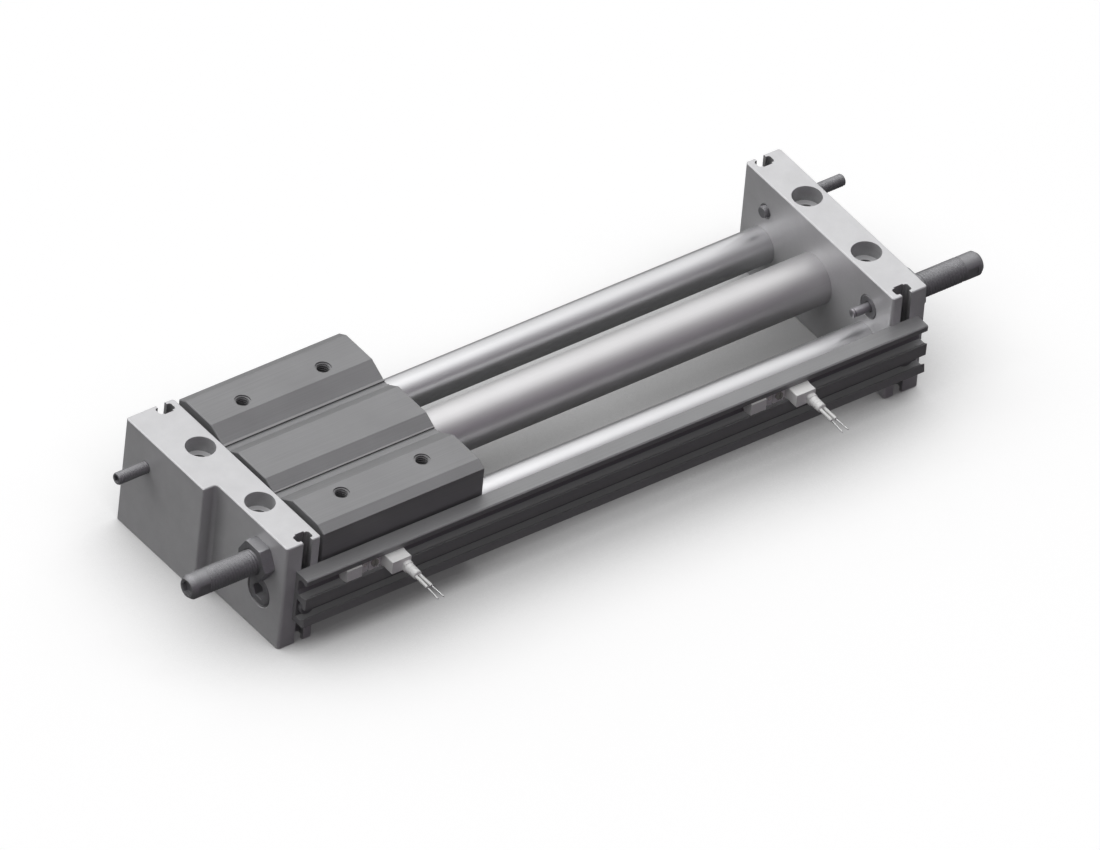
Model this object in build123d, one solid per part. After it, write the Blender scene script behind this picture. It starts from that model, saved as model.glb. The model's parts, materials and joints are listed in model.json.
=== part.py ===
from build123d import *
import os
from math import sqrt

os.makedirs("parts", exist_ok=True)

# Magnetically coupled rodless cylinder, slide bearing type. All sizes in millimetres.
# X runs along the tube, Y across it (the sensor rail is on the -Y side) and Z is up.
# The origin lies midway between the end plates, under the tube, level with the plates' feet.

# Stroke and overall layout
STROKE = 150.0
CARRIAGE_LENGTH = 60.0
STOP_GAP = 1.5
SHAFT_INSET = 11.5
TUBE_HEIGHT = 20.5
SHAFT_HEIGHT = 15.0
STOP_HEIGHT = 28.0

# Clearances
SEAT_CLEARANCE = 0.02
RUNNING_CLEARANCE = 0.03
SLIP_CLEARANCE = 0.1
TOUCH_GAP = 0.1

# End plates
PLATE_WIDTH = 75.0
PLATE_HEIGHT = 39.0
PLATE_THICKNESS = 12.7
PASSAGE_BLOCK = 4.95
PASSAGE_BLOCK_EDGE = -1.8
PLATE_CORNER = 1.0
STEP_INNER_RADIUS = 1.3
STEP_OUTER_RADIUS = 0.6
PLATE_EDGE = 0.3

# T-slots in the narrow ends of the plates
TSLOT_OFFSET = 5.0
TSLOT_MOUTH = 3.4
TSLOT_LIP = 1.3
TSLOT_WIDTH = 5.8
TSLOT_DEPTH = 2.9
TSLOT_CORNER = 0.5
TSLOT_GROOVE_WIDTH = 3.3
TSLOT_GROOVE_DEPTH = 0.4

# Body mounting holes, from above through the plates
MOUNT_OFFSET = 6.4
MOUNT_PITCH = 30.0
MOUNT_HOLE = 5.6
MOUNT_COUNTERBORE = 9.5
MOUNT_COUNTERBORE_DEPTH = 5.5

# Cylinder tube and guide shafts
TUBE_BORE = 15.0
TUBE_WALL = 0.8
TUBE_SEAT = 7.0
SHAFT_DIAMETER = 12.0
SHAFT_EDGE = 0.5
AIR_BORE = 5.0
AIR_SHAFT_SEAT_A = 10.0
AIR_SHAFT_SEAT_B = 7.0
PLAIN_SHAFT_SEAT = 2.0

# Air passages and ports
PASSAGE_DIAMETER = 3.0
PASSAGE_HEIGHT = 17.75
PASSAGE_DEPTH = 13.2
CHAMBER_DIAMETER = 8.0
CHAMBER_WALL = 1.5
FEED_OFFSET = 1.2
FEED_HEIGHT = 19.0
PORT_CORE = 4.2
PORT_MOUTH = 5.4
PORT_MOUTH_DEPTH = 0.6
PLUG_DIAMETER = 6.0
PLUG_LENGTH = 6.0
PLUG_SOCKET = 3.0
PLUG_SOCKET_DEPTH = 2.5

# Gaskets of the tube and of the air shaft
GASKET_SECTION = 1.5
GASKET_CORNER = 0.35
GASKET_GROOVE_WIDTH = 1.9
GASKET_SPACING = 1.0

# Screws that hold the shafts
SHAFT_SCREW = 6.0
SHAFT_SCREW_HEAD = 10.0
SHAFT_SCREW_COUNTERBORE = 11.0
SHAFT_SCREW_HEAD_HEIGHT = 6.0
SHAFT_SCREW_SOCKET = 5.0
SHAFT_SCREW_SOCKET_DEPTH = 3.0
SHAFT_SCREW_GRIP = 12.0
SET_SCREW = 3.0
SET_SCREW_LENGTH = 7.0
SET_SCREW_DEPTH = 2.4
SET_SCREW_SOCKET = 1.5
SET_SCREW_SOCKET_DEPTH = 1.6

# Slide block: half of its section, symmetric about the XZ plane
BLOCK_BOTTOM = 3.0
BLOCK_SIDE_GAP = 0.8
PAD_TOP = 40.0
PAD_BEVEL_WIDTH = 3.2
PAD_BEVEL_DROP = 1.7
PAD_SLOPE_TOP = 20.6
PAD_SLOPE_FOOT = 14.5
VALLEY_FLOOR = 36.6
RIDGE_TOP = 39.0
RIDGE_HALF_WIDTH = 7.0
RIDGE_SLOPE_FOOT = 11.1
VALLEY_GROOVE_START = 11.7
VALLEY_GROOVE_END = 13.55
VALLEY_GROOVE_DEPTH = 0.5
FOOT_CHAMFER = 3.0
FOOT_CHANNEL_HALF_WIDTH = 15.0
FOOT_CHANNEL_DEPTH = 1.0
BLOCK_EDGE = 0.25

# Load mounting threads in the slide block
LOAD_PITCH_X = 30.0
LOAD_PITCH_Y = 50.0
LOAD_CORE = 4.2
LOAD_MOUTH = 5.1
LOAD_MOUTH_DEPTH = 0.45
LOAD_DEPTH = 9.5

# Bushings in the slide block
BUSHING_WALL = 1.5
BUSHING_LENGTH = 16.0
BUSHING_INSET = 1.0

# Magnetic coupling, inside and outside the tube
MAGNET_COUNT = 4
MAGNET_LENGTH = 5.0
YOKE_LENGTH = 2.4
OUTER_STACK_DIAMETER = 27.0
OUTER_MAGNET_DIAMETER = 26.6
OUTER_STACK_GAP = 0.35
SCRAPER_LENGTH = 3.0
RING_LENGTH = 1.2
RING_DEPTH = 0.8
SLIDE_RING_LENGTH = 6.0
SLIDE_RING_WALL = 1.4
INNER_YOKE_GAP = 0.2
INNER_MAGNET_GAP = 0.4
PISTON_SHAFT = 5.0
PISTON_GAP = 0.25
PISTON_LENGTH = 16.0
PISTON_RECESS = 1.0
PISTON_NUT_ACROSS_FLATS = 8.0
PISTON_NUT_LENGTH = 3.0
BUMPER_DIAMETER = 13.0
BUMPER_BORE = 10.0
BUMPER_LENGTH = 6.0
SEAL_WIDTH = 2.2
SEAL_DEPTH = 1.6
SEAL_OFFSET = 3.0
GUIDE_RING_WIDTH = 4.0
GUIDE_RING_DEPTH = 1.0
GUIDE_RING_OFFSET = 8.0

# Shock absorbers: threaded body, lock nut and rod
SHOCK_DIAMETER = 8.0
SHOCK_LENGTH = 40.8
SHOCK_CHAMFER = 1.0
SHOCK_SOCKET = 4.0
SHOCK_SOCKET_DEPTH = 2.5
SHOCK_FLATS = 7.0
SHOCK_FLATS_START = 2.4
SHOCK_FLATS_LENGTH = 3.9
SHOCK_NUT_ACROSS_FLATS = 12.0
SHOCK_NUT_LENGTH = 4.0
SHOCK_NUT_CHAMFER = 0.35
SHOCK_ROD = 2.8
SHOCK_ROD_LENGTH = 26.0
SHOCK_ROD_CAP = 3.2
SHOCK_ROD_CAP_LENGTH = 1.0
SHOCK_MOUTH = 3.6
SHOCK_MOUTH_DEPTH = 1.2
SHOCK_STROKE = 5.0

# Stop screws that set where the slide block ends its travel
STOP_SCREW = 4.0
STOP_SCREW_LENGTH = 30.0
STOP_SCREW_CHAMFER = 0.4
STOP_SCREW_SOCKET = 2.0
STOP_SCREW_SOCKET_DEPTH = 2.5
STOP_HOLE_MOUTH = 5.0
STOP_HOLE_MOUTH_DEPTH = 0.5

# Sensor rail: its section measured from the plates' near faces and from the feet
RAIL_BOTTOM = 10.3
RAIL_TOP = 28.8
RAIL_DEPTH = 5.9
RAIL_OVERLAP_A = 8.4
RAIL_OVERLAP_B = 9.7
RAIL_EDGE = 0.7
RAIL_WALL = 1.45
RAIL_LIP = 1.3
SENSOR_SLOT_BOTTOM = 21.35
SENSOR_SLOT_TOP = 27.2
SENSOR_MOUTH_BOTTOM = 22.0
SENSOR_MOUTH_TOP = 26.35
SCREW_SLOT_BOTTOM = 12.5
SCREW_SLOT_TOP = 19.25
SCREW_MOUTH_BOTTOM = 13.95
SCREW_MOUTH_TOP = 17.2
RIB_SET_BACK = 0.15

# Rail screws and the nuts that hold them in the plates' T-slots
RAIL_SCREW = 3.0
RAIL_SCREW_HEAD = 5.4
RAIL_SCREW_HEAD_HEIGHT = 1.5
RAIL_SCREW_SOCKET = 2.0
RAIL_SCREW_SOCKET_DEPTH = 0.8
RAIL_SCREW_HEIGHT = 15.6
RAIL_NUT_LENGTH = 8.0
RAIL_NUT_CLEARANCE = 0.15

# Auto switches
SWITCH_START = 6.7
SWITCH_PITCH = 150.5
SWITCH_TAIL = 5.6
SWITCH_RECESS = 8.6
SWITCH_HEAD = 7.0
SWITCH_HEAD_DEPTH = 3.15
SWITCH_HEAD_BOTTOM = 21.7
SWITCH_HEAD_TOP = 26.2
SWITCH_CLEARANCE = 0.15
SWITCH_RECESS_DEPTH = 1.6
SWITCH_GROOVE_DEPTH = 0.7
SWITCH_EDGE = 0.2
SWITCH_SCREW = 2.6
SWITCH_SCREW_HEAD_HEIGHT = 0.7
SWITCH_SCREW_SHANK = 1.8
SWITCH_SLOT_WIDTH = 0.4
SWITCH_SLOT_DEPTH = 0.35
INDICATOR_DIAMETER = 1.2
INDICATOR_HEIGHT = 0.6
COLLAR_WIDTH = 3.05
COLLAR_HEIGHT = 3.5
COLLAR_LENGTH = 1.3
COLLAR_EDGE = 0.9
BOOT_DIAMETER = 3.3
BOOT_LENGTH = 4.6
BOOT_EDGE = 0.3
LEAD_INSET = 1.7
LEAD_HEIGHT = 23.2
WIRE_DIAMETER = 1.1
WIRE_PITCH = 1.44
WIRE_LENGTH = 5.9
CONDUCTOR_DIAMETER = 0.5
CONDUCTOR_LENGTH = 5.8

# Places along a switch's sunk face, as shares of its length
SWITCH_GROOVES = ((0.0, 0.17), (0.38, 0.45), (0.87, 1.0))
INDICATOR_PLACE = 0.275
SWITCH_SCREW_PLACE = 0.66

# Magnet in the slide block that the switches sense
SENSE_MAGNET_LENGTH = 12.0
SENSE_MAGNET_HEIGHT = 4.0
SENSE_MAGNET_DEPTH = 3.0

# Worked out from the sizes above
INNER_SPAN = CARRIAGE_LENGTH + STROKE + 2 * STOP_GAP
LEFT_FACE = -INNER_SPAN / 2
RIGHT_FACE = INNER_SPAN / 2
NEAR_FACE = -PLATE_WIDTH / 2
SHAFT_Y = PLATE_WIDTH / 2 - SHAFT_INSET
BLOCK_HALF_WIDTH = PLATE_WIDTH / 2 - BLOCK_SIDE_GAP
TUBE_DIAMETER = TUBE_BORE + 2 * TUBE_WALL
BLOCK_START = LEFT_FACE + STOP_GAP
BLOCK_END = BLOCK_START + CARRIAGE_LENGTH
BLOCK_MIDDLE = (BLOCK_START + BLOCK_END) / 2
STACK_LENGTH = MAGNET_COUNT * MAGNET_LENGTH + (MAGNET_COUNT + 1) * YOKE_LENGTH
THICK_PLATE = PLATE_THICKNESS + PASSAGE_BLOCK
OUTER_STACK_BORE = TUBE_DIAMETER + 2 * OUTER_STACK_GAP
SEAT_X_SIGN = {"a": -1, "b": 1}


def at_depth(side, depth):
    """X of a point that lies a depth outwards from the inner face of plate a or plate b."""
    face = LEFT_FACE if side == "a" else RIGHT_FACE
    return face + SEAT_X_SIGN[side] * depth


def along_x(sketch, x0, x1, y=0.0, z=0.0):
    """Extrude a sketch drawn in (Y, Z) from x0 to x1, centred on (y, z)."""
    plane = Plane(origin=(min(x0, x1), y, z), x_dir=(0, 1, 0), z_dir=(1, 0, 0))
    return extrude(plane * sketch, amount=abs(x1 - x0))


def along_y(sketch, y0, y1, x=0.0, z=0.0):
    """Extrude a sketch drawn in (X, Z) from y0 to y1, centred on (x, z)."""
    plane = Plane(origin=(x, max(y0, y1), z), x_dir=(1, 0, 0), z_dir=(0, -1, 0))
    return extrude(plane * sketch, amount=abs(y1 - y0))


def along_z(sketch, z0, z1, x=0.0, y=0.0):
    """Extrude a sketch drawn in (X, Y) from z0 to z1, centred on (x, y)."""
    return extrude(Pos(x, y, min(z0, z1)) * sketch, amount=abs(z1 - z0))


def cuboid(x0, x1, y0, y1, z0, z1):
    """A box between two corners."""
    middle = Pos((x0 + x1) / 2, (y0 + y1) / 2, (z0 + z1) / 2)
    return middle * Box(abs(x1 - x0), abs(y1 - y0), abs(z1 - z0))


def ring_x(outer, inner, x0, x1, y=0.0, z=0.0):
    """A ring about an axis along X, given by its diameters."""
    return along_x(Circle(outer / 2) - Circle(inner / 2), x0, x1, y, z)


def hexagon(across_flats, turn=0.0):
    """A hexagon by its width across flats; with no turn two corners lie on the sketch's x axis."""
    return Rotation(0, 0, turn) * RegularPolygon(across_flats / 2, 6, major_radius=False)


def end_edges(part, axis, last):
    """The edges at the first or last end of a part along an axis."""
    return part.edges().group_by(axis)[-1 if last else 0]


def gasket_x(bore, x, y, z):
    """A packing ring of square section with broken corners round a shaft of the bore's diameter."""
    half = GASKET_SECTION / 2 - SEAT_CLEARANCE
    inner = bore + 2 * SEAT_CLEARANCE
    ring = ring_x(inner + 4 * half, inner, x - half, x + half, y, z)
    outer_edges = ring.edges().filter_by(GeomType.CIRCLE).group_by(SortBy.RADIUS)[-1]
    return chamfer(outer_edges, GASKET_CORNER)


def screw_thread_end(diameter, x0, x1, y, z, edge):
    """A plain rod along X with both ends chamfered, as a screw's ends are."""
    rod = along_x(Circle(diameter / 2), x0, x1, y, z)
    return chamfer(rod.edges().filter_by(GeomType.CIRCLE), edge)


def tslot_outline(x, sign):
    """The T-slot that opens on the narrow end of a plate at the given side of Y."""
    edge = sign * PLATE_WIDTH / 2
    lip_end = edge - sign * TSLOT_LIP
    floor = lip_end - sign * TSLOT_DEPTH
    mouth = Pos(x, (edge + lip_end) / 2) * Rectangle(TSLOT_MOUTH, TSLOT_LIP + 2 * PLATE_EDGE)
    room = Rectangle(TSLOT_WIDTH, TSLOT_DEPTH)
    room = chamfer(room.vertices(), TSLOT_CORNER)
    groove_middle = floor - sign * TSLOT_GROOVE_DEPTH / 2
    groove = Rectangle(TSLOT_GROOVE_WIDTH, TSLOT_GROOVE_DEPTH + PLATE_EDGE)
    return mouth + Pos(x, (lip_end + floor) / 2) * room + Pos(x, groove_middle) * groove


def plate_outline(side):
    """A plate seen from above: a thin half on the near side and, on plate a, a thicker far half."""
    outer = at_depth(side, PLATE_THICKNESS)
    inner = at_depth(side, 0)
    outline = Pos((inner + outer) / 2, 0) * Rectangle(PLATE_THICKNESS, PLATE_WIDTH)
    if side == "a":
        block_y = (PASSAGE_BLOCK_EDGE + PLATE_WIDTH / 2) / 2
        block_width = PLATE_WIDTH / 2 - PASSAGE_BLOCK_EDGE
        far_outer = at_depth(side, THICK_PLATE)
        outline += Pos((inner + far_outer) / 2, block_y) * Rectangle(THICK_PLATE, block_width)
    corners = [v for v in outline.vertices() if abs(abs(v.Y) - PLATE_WIDTH / 2) < PLATE_EDGE]
    outline = fillet(corners, PLATE_CORNER)
    if side == "a":
        step = [v for v in outline.vertices() if abs(v.Y - PASSAGE_BLOCK_EDGE) < PLATE_EDGE]
        root = [v for v in step if abs(v.X - outer) < PLATE_EDGE]
        outline = fillet(root, STEP_INNER_RADIUS)
        nose = [v for v in outline.vertices()
                if abs(v.Y - PASSAGE_BLOCK_EDGE) < PLATE_EDGE and abs(v.X - far_outer) < PLATE_EDGE]
        outline = fillet(nose, STEP_OUTER_RADIUS)
    return outline


def socket_x(side, diameter, depth, y, z, start=0.0):
    """A round cut along X in a plate, from one depth behind its inner face to another."""
    return along_x(Circle(diameter / 2), at_depth(side, start), at_depth(side, depth), y, z)


def gasket_depth(seat):
    """How deep behind the inner face the middle of a gasket lies in a seat of this depth."""
    return seat - GASKET_SPACING - GASKET_GROOVE_WIDTH / 2


def gasket_groove(side, diameter, seat, y, z):
    """The groove round a seat that holds its gasket."""
    middle = gasket_depth(seat)
    outer = diameter + 2 * (GASKET_SECTION + SEAT_CLEARANCE)
    start = middle - GASKET_GROOVE_WIDTH / 2
    return socket_x(side, outer, start + GASKET_GROOVE_WIDTH, y, z, start)


def plate_sockets(side):
    """Everything that is bored into a plate along X for the tube, the shafts and the stops."""
    air_seat = AIR_SHAFT_SEAT_A if side == "a" else AIR_SHAFT_SEAT_B
    through = THICK_PLATE if side == "a" else PLATE_THICKNESS
    tube_hole = TUBE_DIAMETER + 2 * SEAT_CLEARANCE
    shaft_hole = SHAFT_DIAMETER + 2 * SEAT_CLEARANCE
    cuts = socket_x(side, tube_hole, TUBE_SEAT, 0, TUBE_HEIGHT)
    cuts += gasket_groove(side, TUBE_DIAMETER, TUBE_SEAT, 0, TUBE_HEIGHT)
    cuts += socket_x(side, shaft_hole, air_seat, SHAFT_Y, SHAFT_HEIGHT)
    cuts += gasket_groove(side, SHAFT_DIAMETER, air_seat, SHAFT_Y, SHAFT_HEIGHT)
    cuts += socket_x(side, shaft_hole, PLAIN_SHAFT_SEAT, -SHAFT_Y, SHAFT_HEIGHT)
    screw_hole = SHAFT_SCREW + 2 * SLIP_CLEARANCE
    cuts += socket_x(side, screw_hole, PLATE_THICKNESS, -SHAFT_Y, SHAFT_HEIGHT)
    head_start = PLATE_THICKNESS - SHAFT_SCREW_HEAD_HEIGHT
    cuts += socket_x(side, SHAFT_SCREW_COUNTERBORE, PLATE_THICKNESS, -SHAFT_Y, SHAFT_HEIGHT, head_start)
    shock_hole = SHOCK_DIAMETER + 2 * SEAT_CLEARANCE
    cuts += socket_x(side, shock_hole, PLATE_THICKNESS, -SHAFT_Y, STOP_HEIGHT)
    stop_hole = STOP_SCREW + 2 * RUNNING_CLEARANCE
    cuts += socket_x(side, stop_hole, through, SHAFT_Y, STOP_HEIGHT)
    cuts += socket_x(side, STOP_HOLE_MOUTH, STOP_HOLE_MOUTH_DEPTH, SHAFT_Y, STOP_HEIGHT)
    set_hole = Circle(SET_SCREW / 2 + SEAT_CLEARANCE)
    cuts += along_z(set_hole, 0, SHAFT_HEIGHT, at_depth(side, SET_SCREW_DEPTH), SHAFT_Y)
    return cuts


def air_passages(side):
    """Plate a joins tube and air shaft by a cross drilling; plate b has one port behind each."""
    if side == "a":
        chamber = socket_x(side, CHAMBER_DIAMETER, PLATE_THICKNESS - CHAMBER_WALL, 0, TUBE_HEIGHT)
        chamber += socket_x(side, PASSAGE_DIAMETER, PASSAGE_DEPTH, FEED_OFFSET, FEED_HEIGHT)
        chamber += socket_x(side, CHAMBER_DIAMETER, PASSAGE_DEPTH, SHAFT_Y, SHAFT_HEIGHT)
        drill_x = at_depth(side, PASSAGE_DEPTH)
        far = PLATE_WIDTH / 2
        drilling = along_y(Circle(PASSAGE_DIAMETER / 2), FEED_OFFSET, far, drill_x, PASSAGE_HEIGHT)
        plug_hole = Circle(PLUG_DIAMETER / 2 + SEAT_CLEARANCE)
        return chamber + drilling + along_y(plug_hole, far - PLUG_LENGTH, far, drill_x, PASSAGE_HEIGHT)
    ports = None
    for y, z in ((0, TUBE_HEIGHT), (SHAFT_Y, SHAFT_HEIGHT)):
        port = socket_x(side, PORT_CORE, PLATE_THICKNESS, y, z)
        port += socket_x(side, PORT_MOUTH, PLATE_THICKNESS, y, z, PLATE_THICKNESS - PORT_MOUTH_DEPTH)
        ports = port if ports is None else ports + port
    return ports


def end_plate(side):
    """One end plate with its T-slots, sockets, passages and counterbored mounting holes."""
    plate = along_z(plate_outline(side), 0, PLATE_HEIGHT)
    plate = chamfer(end_edges(plate, Axis.Z, False) + end_edges(plate, Axis.Z, True), PLATE_EDGE)
    for sign in (-1, 1):
        plate -= along_z(tslot_outline(at_depth(side, TSLOT_OFFSET), sign), 0, PLATE_HEIGHT)
    plate -= plate_sockets(side)
    plate -= air_passages(side)
    hole_x = at_depth(side, MOUNT_OFFSET)
    for y in (-MOUNT_PITCH / 2, MOUNT_PITCH / 2):
        plate -= along_z(Circle(MOUNT_HOLE / 2), 0, PLATE_HEIGHT, hole_x, y)
        counterbore_floor = PLATE_HEIGHT - MOUNT_COUNTERBORE_DEPTH
        plate -= along_z(Circle(MOUNT_COUNTERBORE / 2), counterbore_floor, PLATE_HEIGHT, hole_x, y)
    return plate


def cylinder_tube():
    """The thin non-magnetic tube between its seats in the two plates."""
    x0 = at_depth("a", TUBE_SEAT)
    x1 = at_depth("b", TUBE_SEAT)
    return ring_x(TUBE_DIAMETER, TUBE_BORE, x0, x1, 0, TUBE_HEIGHT)


def guide_shaft_a():
    """The far shaft, hollow because it carries air from plate b to plate a."""
    x0 = at_depth("a", AIR_SHAFT_SEAT_A)
    x1 = at_depth("b", AIR_SHAFT_SEAT_B)
    shaft = along_x(Circle(SHAFT_DIAMETER / 2), x0, x1, SHAFT_Y, SHAFT_HEIGHT)
    shaft = chamfer(shaft.edges().filter_by(GeomType.CIRCLE), SHAFT_EDGE)
    return shaft - along_x(Circle(AIR_BORE / 2), x0, x1, SHAFT_Y, SHAFT_HEIGHT)


def guide_shaft_b():
    """The near shaft, solid, tapped at both ends for its screws."""
    x0 = at_depth("a", PLAIN_SHAFT_SEAT)
    x1 = at_depth("b", PLAIN_SHAFT_SEAT)
    shaft = along_x(Circle(SHAFT_DIAMETER / 2), x0, x1, -SHAFT_Y, SHAFT_HEIGHT)
    shaft = chamfer(shaft.edges().filter_by(GeomType.CIRCLE), SHAFT_EDGE)
    tapping = Circle(SHAFT_SCREW / 2 + SEAT_CLEARANCE)
    depth = SHAFT_SCREW_GRIP + SEAT_CLEARANCE
    shaft -= along_x(tapping, x0, x0 + depth, -SHAFT_Y, SHAFT_HEIGHT)
    shaft -= along_x(tapping, x1 - depth, x1, -SHAFT_Y, SHAFT_HEIGHT)
    return shaft


def tube_gaskets():
    """One gasket round each end of the tube."""
    depth = gasket_depth(TUBE_SEAT)
    return [gasket_x(TUBE_DIAMETER, at_depth(side, depth), 0, TUBE_HEIGHT) for side in ("a", "b")]


def shaft_gaskets():
    """One gasket round each end of the hollow shaft."""
    depths = (("a", gasket_depth(AIR_SHAFT_SEAT_A)), ("b", gasket_depth(AIR_SHAFT_SEAT_B)))
    return [gasket_x(SHAFT_DIAMETER, at_depth(side, depth), SHAFT_Y, SHAFT_HEIGHT) for side, depth in depths]


def shaft_screws():
    """Cap screws, sunk flush in the plates, that pull the plates onto the solid shaft."""
    screws = []
    for side in ("a", "b"):
        face = at_depth(side, PLATE_THICKNESS)
        head_back = at_depth(side, PLATE_THICKNESS - SHAFT_SCREW_HEAD_HEIGHT)
        tip = at_depth(side, PLAIN_SHAFT_SEAT - SHAFT_SCREW_GRIP)
        head = along_x(Circle(SHAFT_SCREW_HEAD / 2), face, head_back, -SHAFT_Y, SHAFT_HEIGHT)
        head = chamfer(end_edges(head, Axis.X, side == "b"), SHAFT_EDGE)
        shank = along_x(Circle(SHAFT_SCREW / 2), head_back, tip, -SHAFT_Y, SHAFT_HEIGHT)
        socket_floor = at_depth(side, PLATE_THICKNESS - SHAFT_SCREW_SOCKET_DEPTH)
        socket = along_x(hexagon(SHAFT_SCREW_SOCKET), face, socket_floor, -SHAFT_Y, SHAFT_HEIGHT)
        screws.append(head + shank - socket)
    return screws


def shaft_set_screws():
    """Set screws from below that bear on the hollow shaft."""
    screws = []
    top = SHAFT_HEIGHT - SHAFT_DIAMETER / 2 - SEAT_CLEARANCE
    for side in ("a", "b"):
        x = at_depth(side, SET_SCREW_DEPTH)
        screw = along_z(Circle(SET_SCREW / 2), top - SET_SCREW_LENGTH, top, x, SHAFT_Y)
        socket_top = top - SET_SCREW_LENGTH + SET_SCREW_SOCKET_DEPTH
        screw -= along_z(hexagon(SET_SCREW_SOCKET), top - SET_SCREW_LENGTH, socket_top, x, SHAFT_Y)
        screws.append(screw)
    return screws


def passage_plug():
    """Socket plug that closes the cross drilling in plate a."""
    x = at_depth("a", PASSAGE_DEPTH)
    far = PLATE_WIDTH / 2
    plug = along_y(Circle(PLUG_DIAMETER / 2), far - PLUG_LENGTH, far - PLATE_EDGE, x, PASSAGE_HEIGHT)
    return plug - along_y(hexagon(PLUG_SOCKET), far - PLUG_SOCKET_DEPTH, far, x, PASSAGE_HEIGHT)


def block_section():
    """The slide block's extruded section: two outer pads, two valleys and a middle ridge."""
    groove_floor = VALLEY_FLOOR - VALLEY_GROOVE_DEPTH
    foot_y = BLOCK_HALF_WIDTH - FOOT_CHAMFER
    half = [
        (0, RIDGE_TOP),
        (RIDGE_HALF_WIDTH, RIDGE_TOP),
        (RIDGE_SLOPE_FOOT, VALLEY_FLOOR),
        (VALLEY_GROOVE_START, VALLEY_FLOOR),
        (VALLEY_GROOVE_START, groove_floor),
        (VALLEY_GROOVE_END, groove_floor),
        (VALLEY_GROOVE_END, VALLEY_FLOOR),
        (PAD_SLOPE_FOOT, VALLEY_FLOOR),
        (PAD_SLOPE_TOP, PAD_TOP),
        (BLOCK_HALF_WIDTH - PAD_BEVEL_WIDTH, PAD_TOP),
        (BLOCK_HALF_WIDTH, PAD_TOP - PAD_BEVEL_DROP),
        (BLOCK_HALF_WIDTH, BLOCK_BOTTOM + FOOT_CHAMFER),
        (foot_y, BLOCK_BOTTOM),
        (FOOT_CHANNEL_HALF_WIDTH, BLOCK_BOTTOM),
        (FOOT_CHANNEL_HALF_WIDTH - FOOT_CHANNEL_DEPTH, BLOCK_BOTTOM + FOOT_CHANNEL_DEPTH),
        (0, BLOCK_BOTTOM + FOOT_CHANNEL_DEPTH),
    ]
    right = make_face(Polyline(*half, close=True))
    return right + mirror(right, Plane.YZ)


def slide_block():
    """The slide block: bores for the coupling and the bushings, load threads and a magnet pocket."""
    block = along_x(block_section(), BLOCK_START, BLOCK_END)
    block = chamfer(end_edges(block, Axis.X, False) + end_edges(block, Axis.X, True), BLOCK_EDGE)
    stack_hole = Circle(OUTER_STACK_DIAMETER / 2 + SEAT_CLEARANCE)
    block -= along_x(stack_hole, BLOCK_START, BLOCK_END, 0, TUBE_HEIGHT)
    for x0 in ring_starts():
        groove = Circle(OUTER_STACK_DIAMETER / 2 + RING_DEPTH + SEAT_CLEARANCE)
        block -= along_x(groove, x0, x0 + RING_LENGTH, 0, TUBE_HEIGHT)
    bushing_hole = Circle(SHAFT_DIAMETER / 2 + BUSHING_WALL + SEAT_CLEARANCE)
    for y in (-SHAFT_Y, SHAFT_Y):
        block -= along_x(bushing_hole, BLOCK_START, BLOCK_END, y, SHAFT_HEIGHT)
        for x in (BLOCK_MIDDLE - LOAD_PITCH_X / 2, BLOCK_MIDDLE + LOAD_PITCH_X / 2):
            load_y = LOAD_PITCH_Y / 2 if y > 0 else -LOAD_PITCH_Y / 2
            block -= along_z(Circle(LOAD_CORE / 2), PAD_TOP - LOAD_DEPTH, PAD_TOP, x, load_y)
            mouth_floor = PAD_TOP - LOAD_MOUTH_DEPTH
            block -= along_z(Circle(LOAD_MOUTH / 2), mouth_floor, PAD_TOP, x, load_y)
    return block - sense_magnet_box(SEAT_CLEARANCE)


def ring_starts():
    """Where the two retaining rings begin along X."""
    return (BLOCK_START + SCRAPER_LENGTH, BLOCK_END - SCRAPER_LENGTH - RING_LENGTH)


def sense_magnet_box(clearance):
    """The magnet bar in the near side of the slide block, or its pocket."""
    half_length = SENSE_MAGNET_LENGTH / 2 + clearance
    half_height = SENSE_MAGNET_HEIGHT / 2 + clearance
    middle = (SENSOR_MOUTH_BOTTOM + SENSOR_MOUTH_TOP) / 2
    front = -BLOCK_HALF_WIDTH
    return cuboid(BLOCK_MIDDLE - half_length, BLOCK_MIDDLE + half_length, front,
                  front + SENSE_MAGNET_DEPTH + clearance, middle - half_height, middle + half_height)


def bushings(y):
    """The two plain bearings that one shaft runs in."""
    outer = SHAFT_DIAMETER + 2 * BUSHING_WALL
    inner = SHAFT_DIAMETER + 2 * RUNNING_CLEARANCE
    left = BLOCK_START + BUSHING_INSET
    right = BLOCK_END - BUSHING_INSET
    return [
        ring_x(outer, inner, left, left + BUSHING_LENGTH, y, SHAFT_HEIGHT),
        ring_x(outer, inner, right - BUSHING_LENGTH, right, y, SHAFT_HEIGHT),
    ]


def stack_rings(outer, inner, lengths_before, length, count):
    """Rings of one kind in a magnet stack, which is centred on the slide block's middle."""
    step = MAGNET_LENGTH + YOKE_LENGTH
    start = BLOCK_MIDDLE - STACK_LENGTH / 2 + lengths_before
    return [ring_x(outer, inner, start + i * step, start + i * step + length, 0, TUBE_HEIGHT)
            for i in range(count)]


def outer_yokes():
    """Iron rings outside the tube, one at each end of every magnet."""
    return stack_rings(OUTER_STACK_DIAMETER, OUTER_STACK_BORE, 0, YOKE_LENGTH, MAGNET_COUNT + 1)


def outer_magnets():
    """Ring magnets outside the tube."""
    return stack_rings(OUTER_MAGNET_DIAMETER, OUTER_STACK_BORE, YOKE_LENGTH, MAGNET_LENGTH, MAGNET_COUNT)


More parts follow.
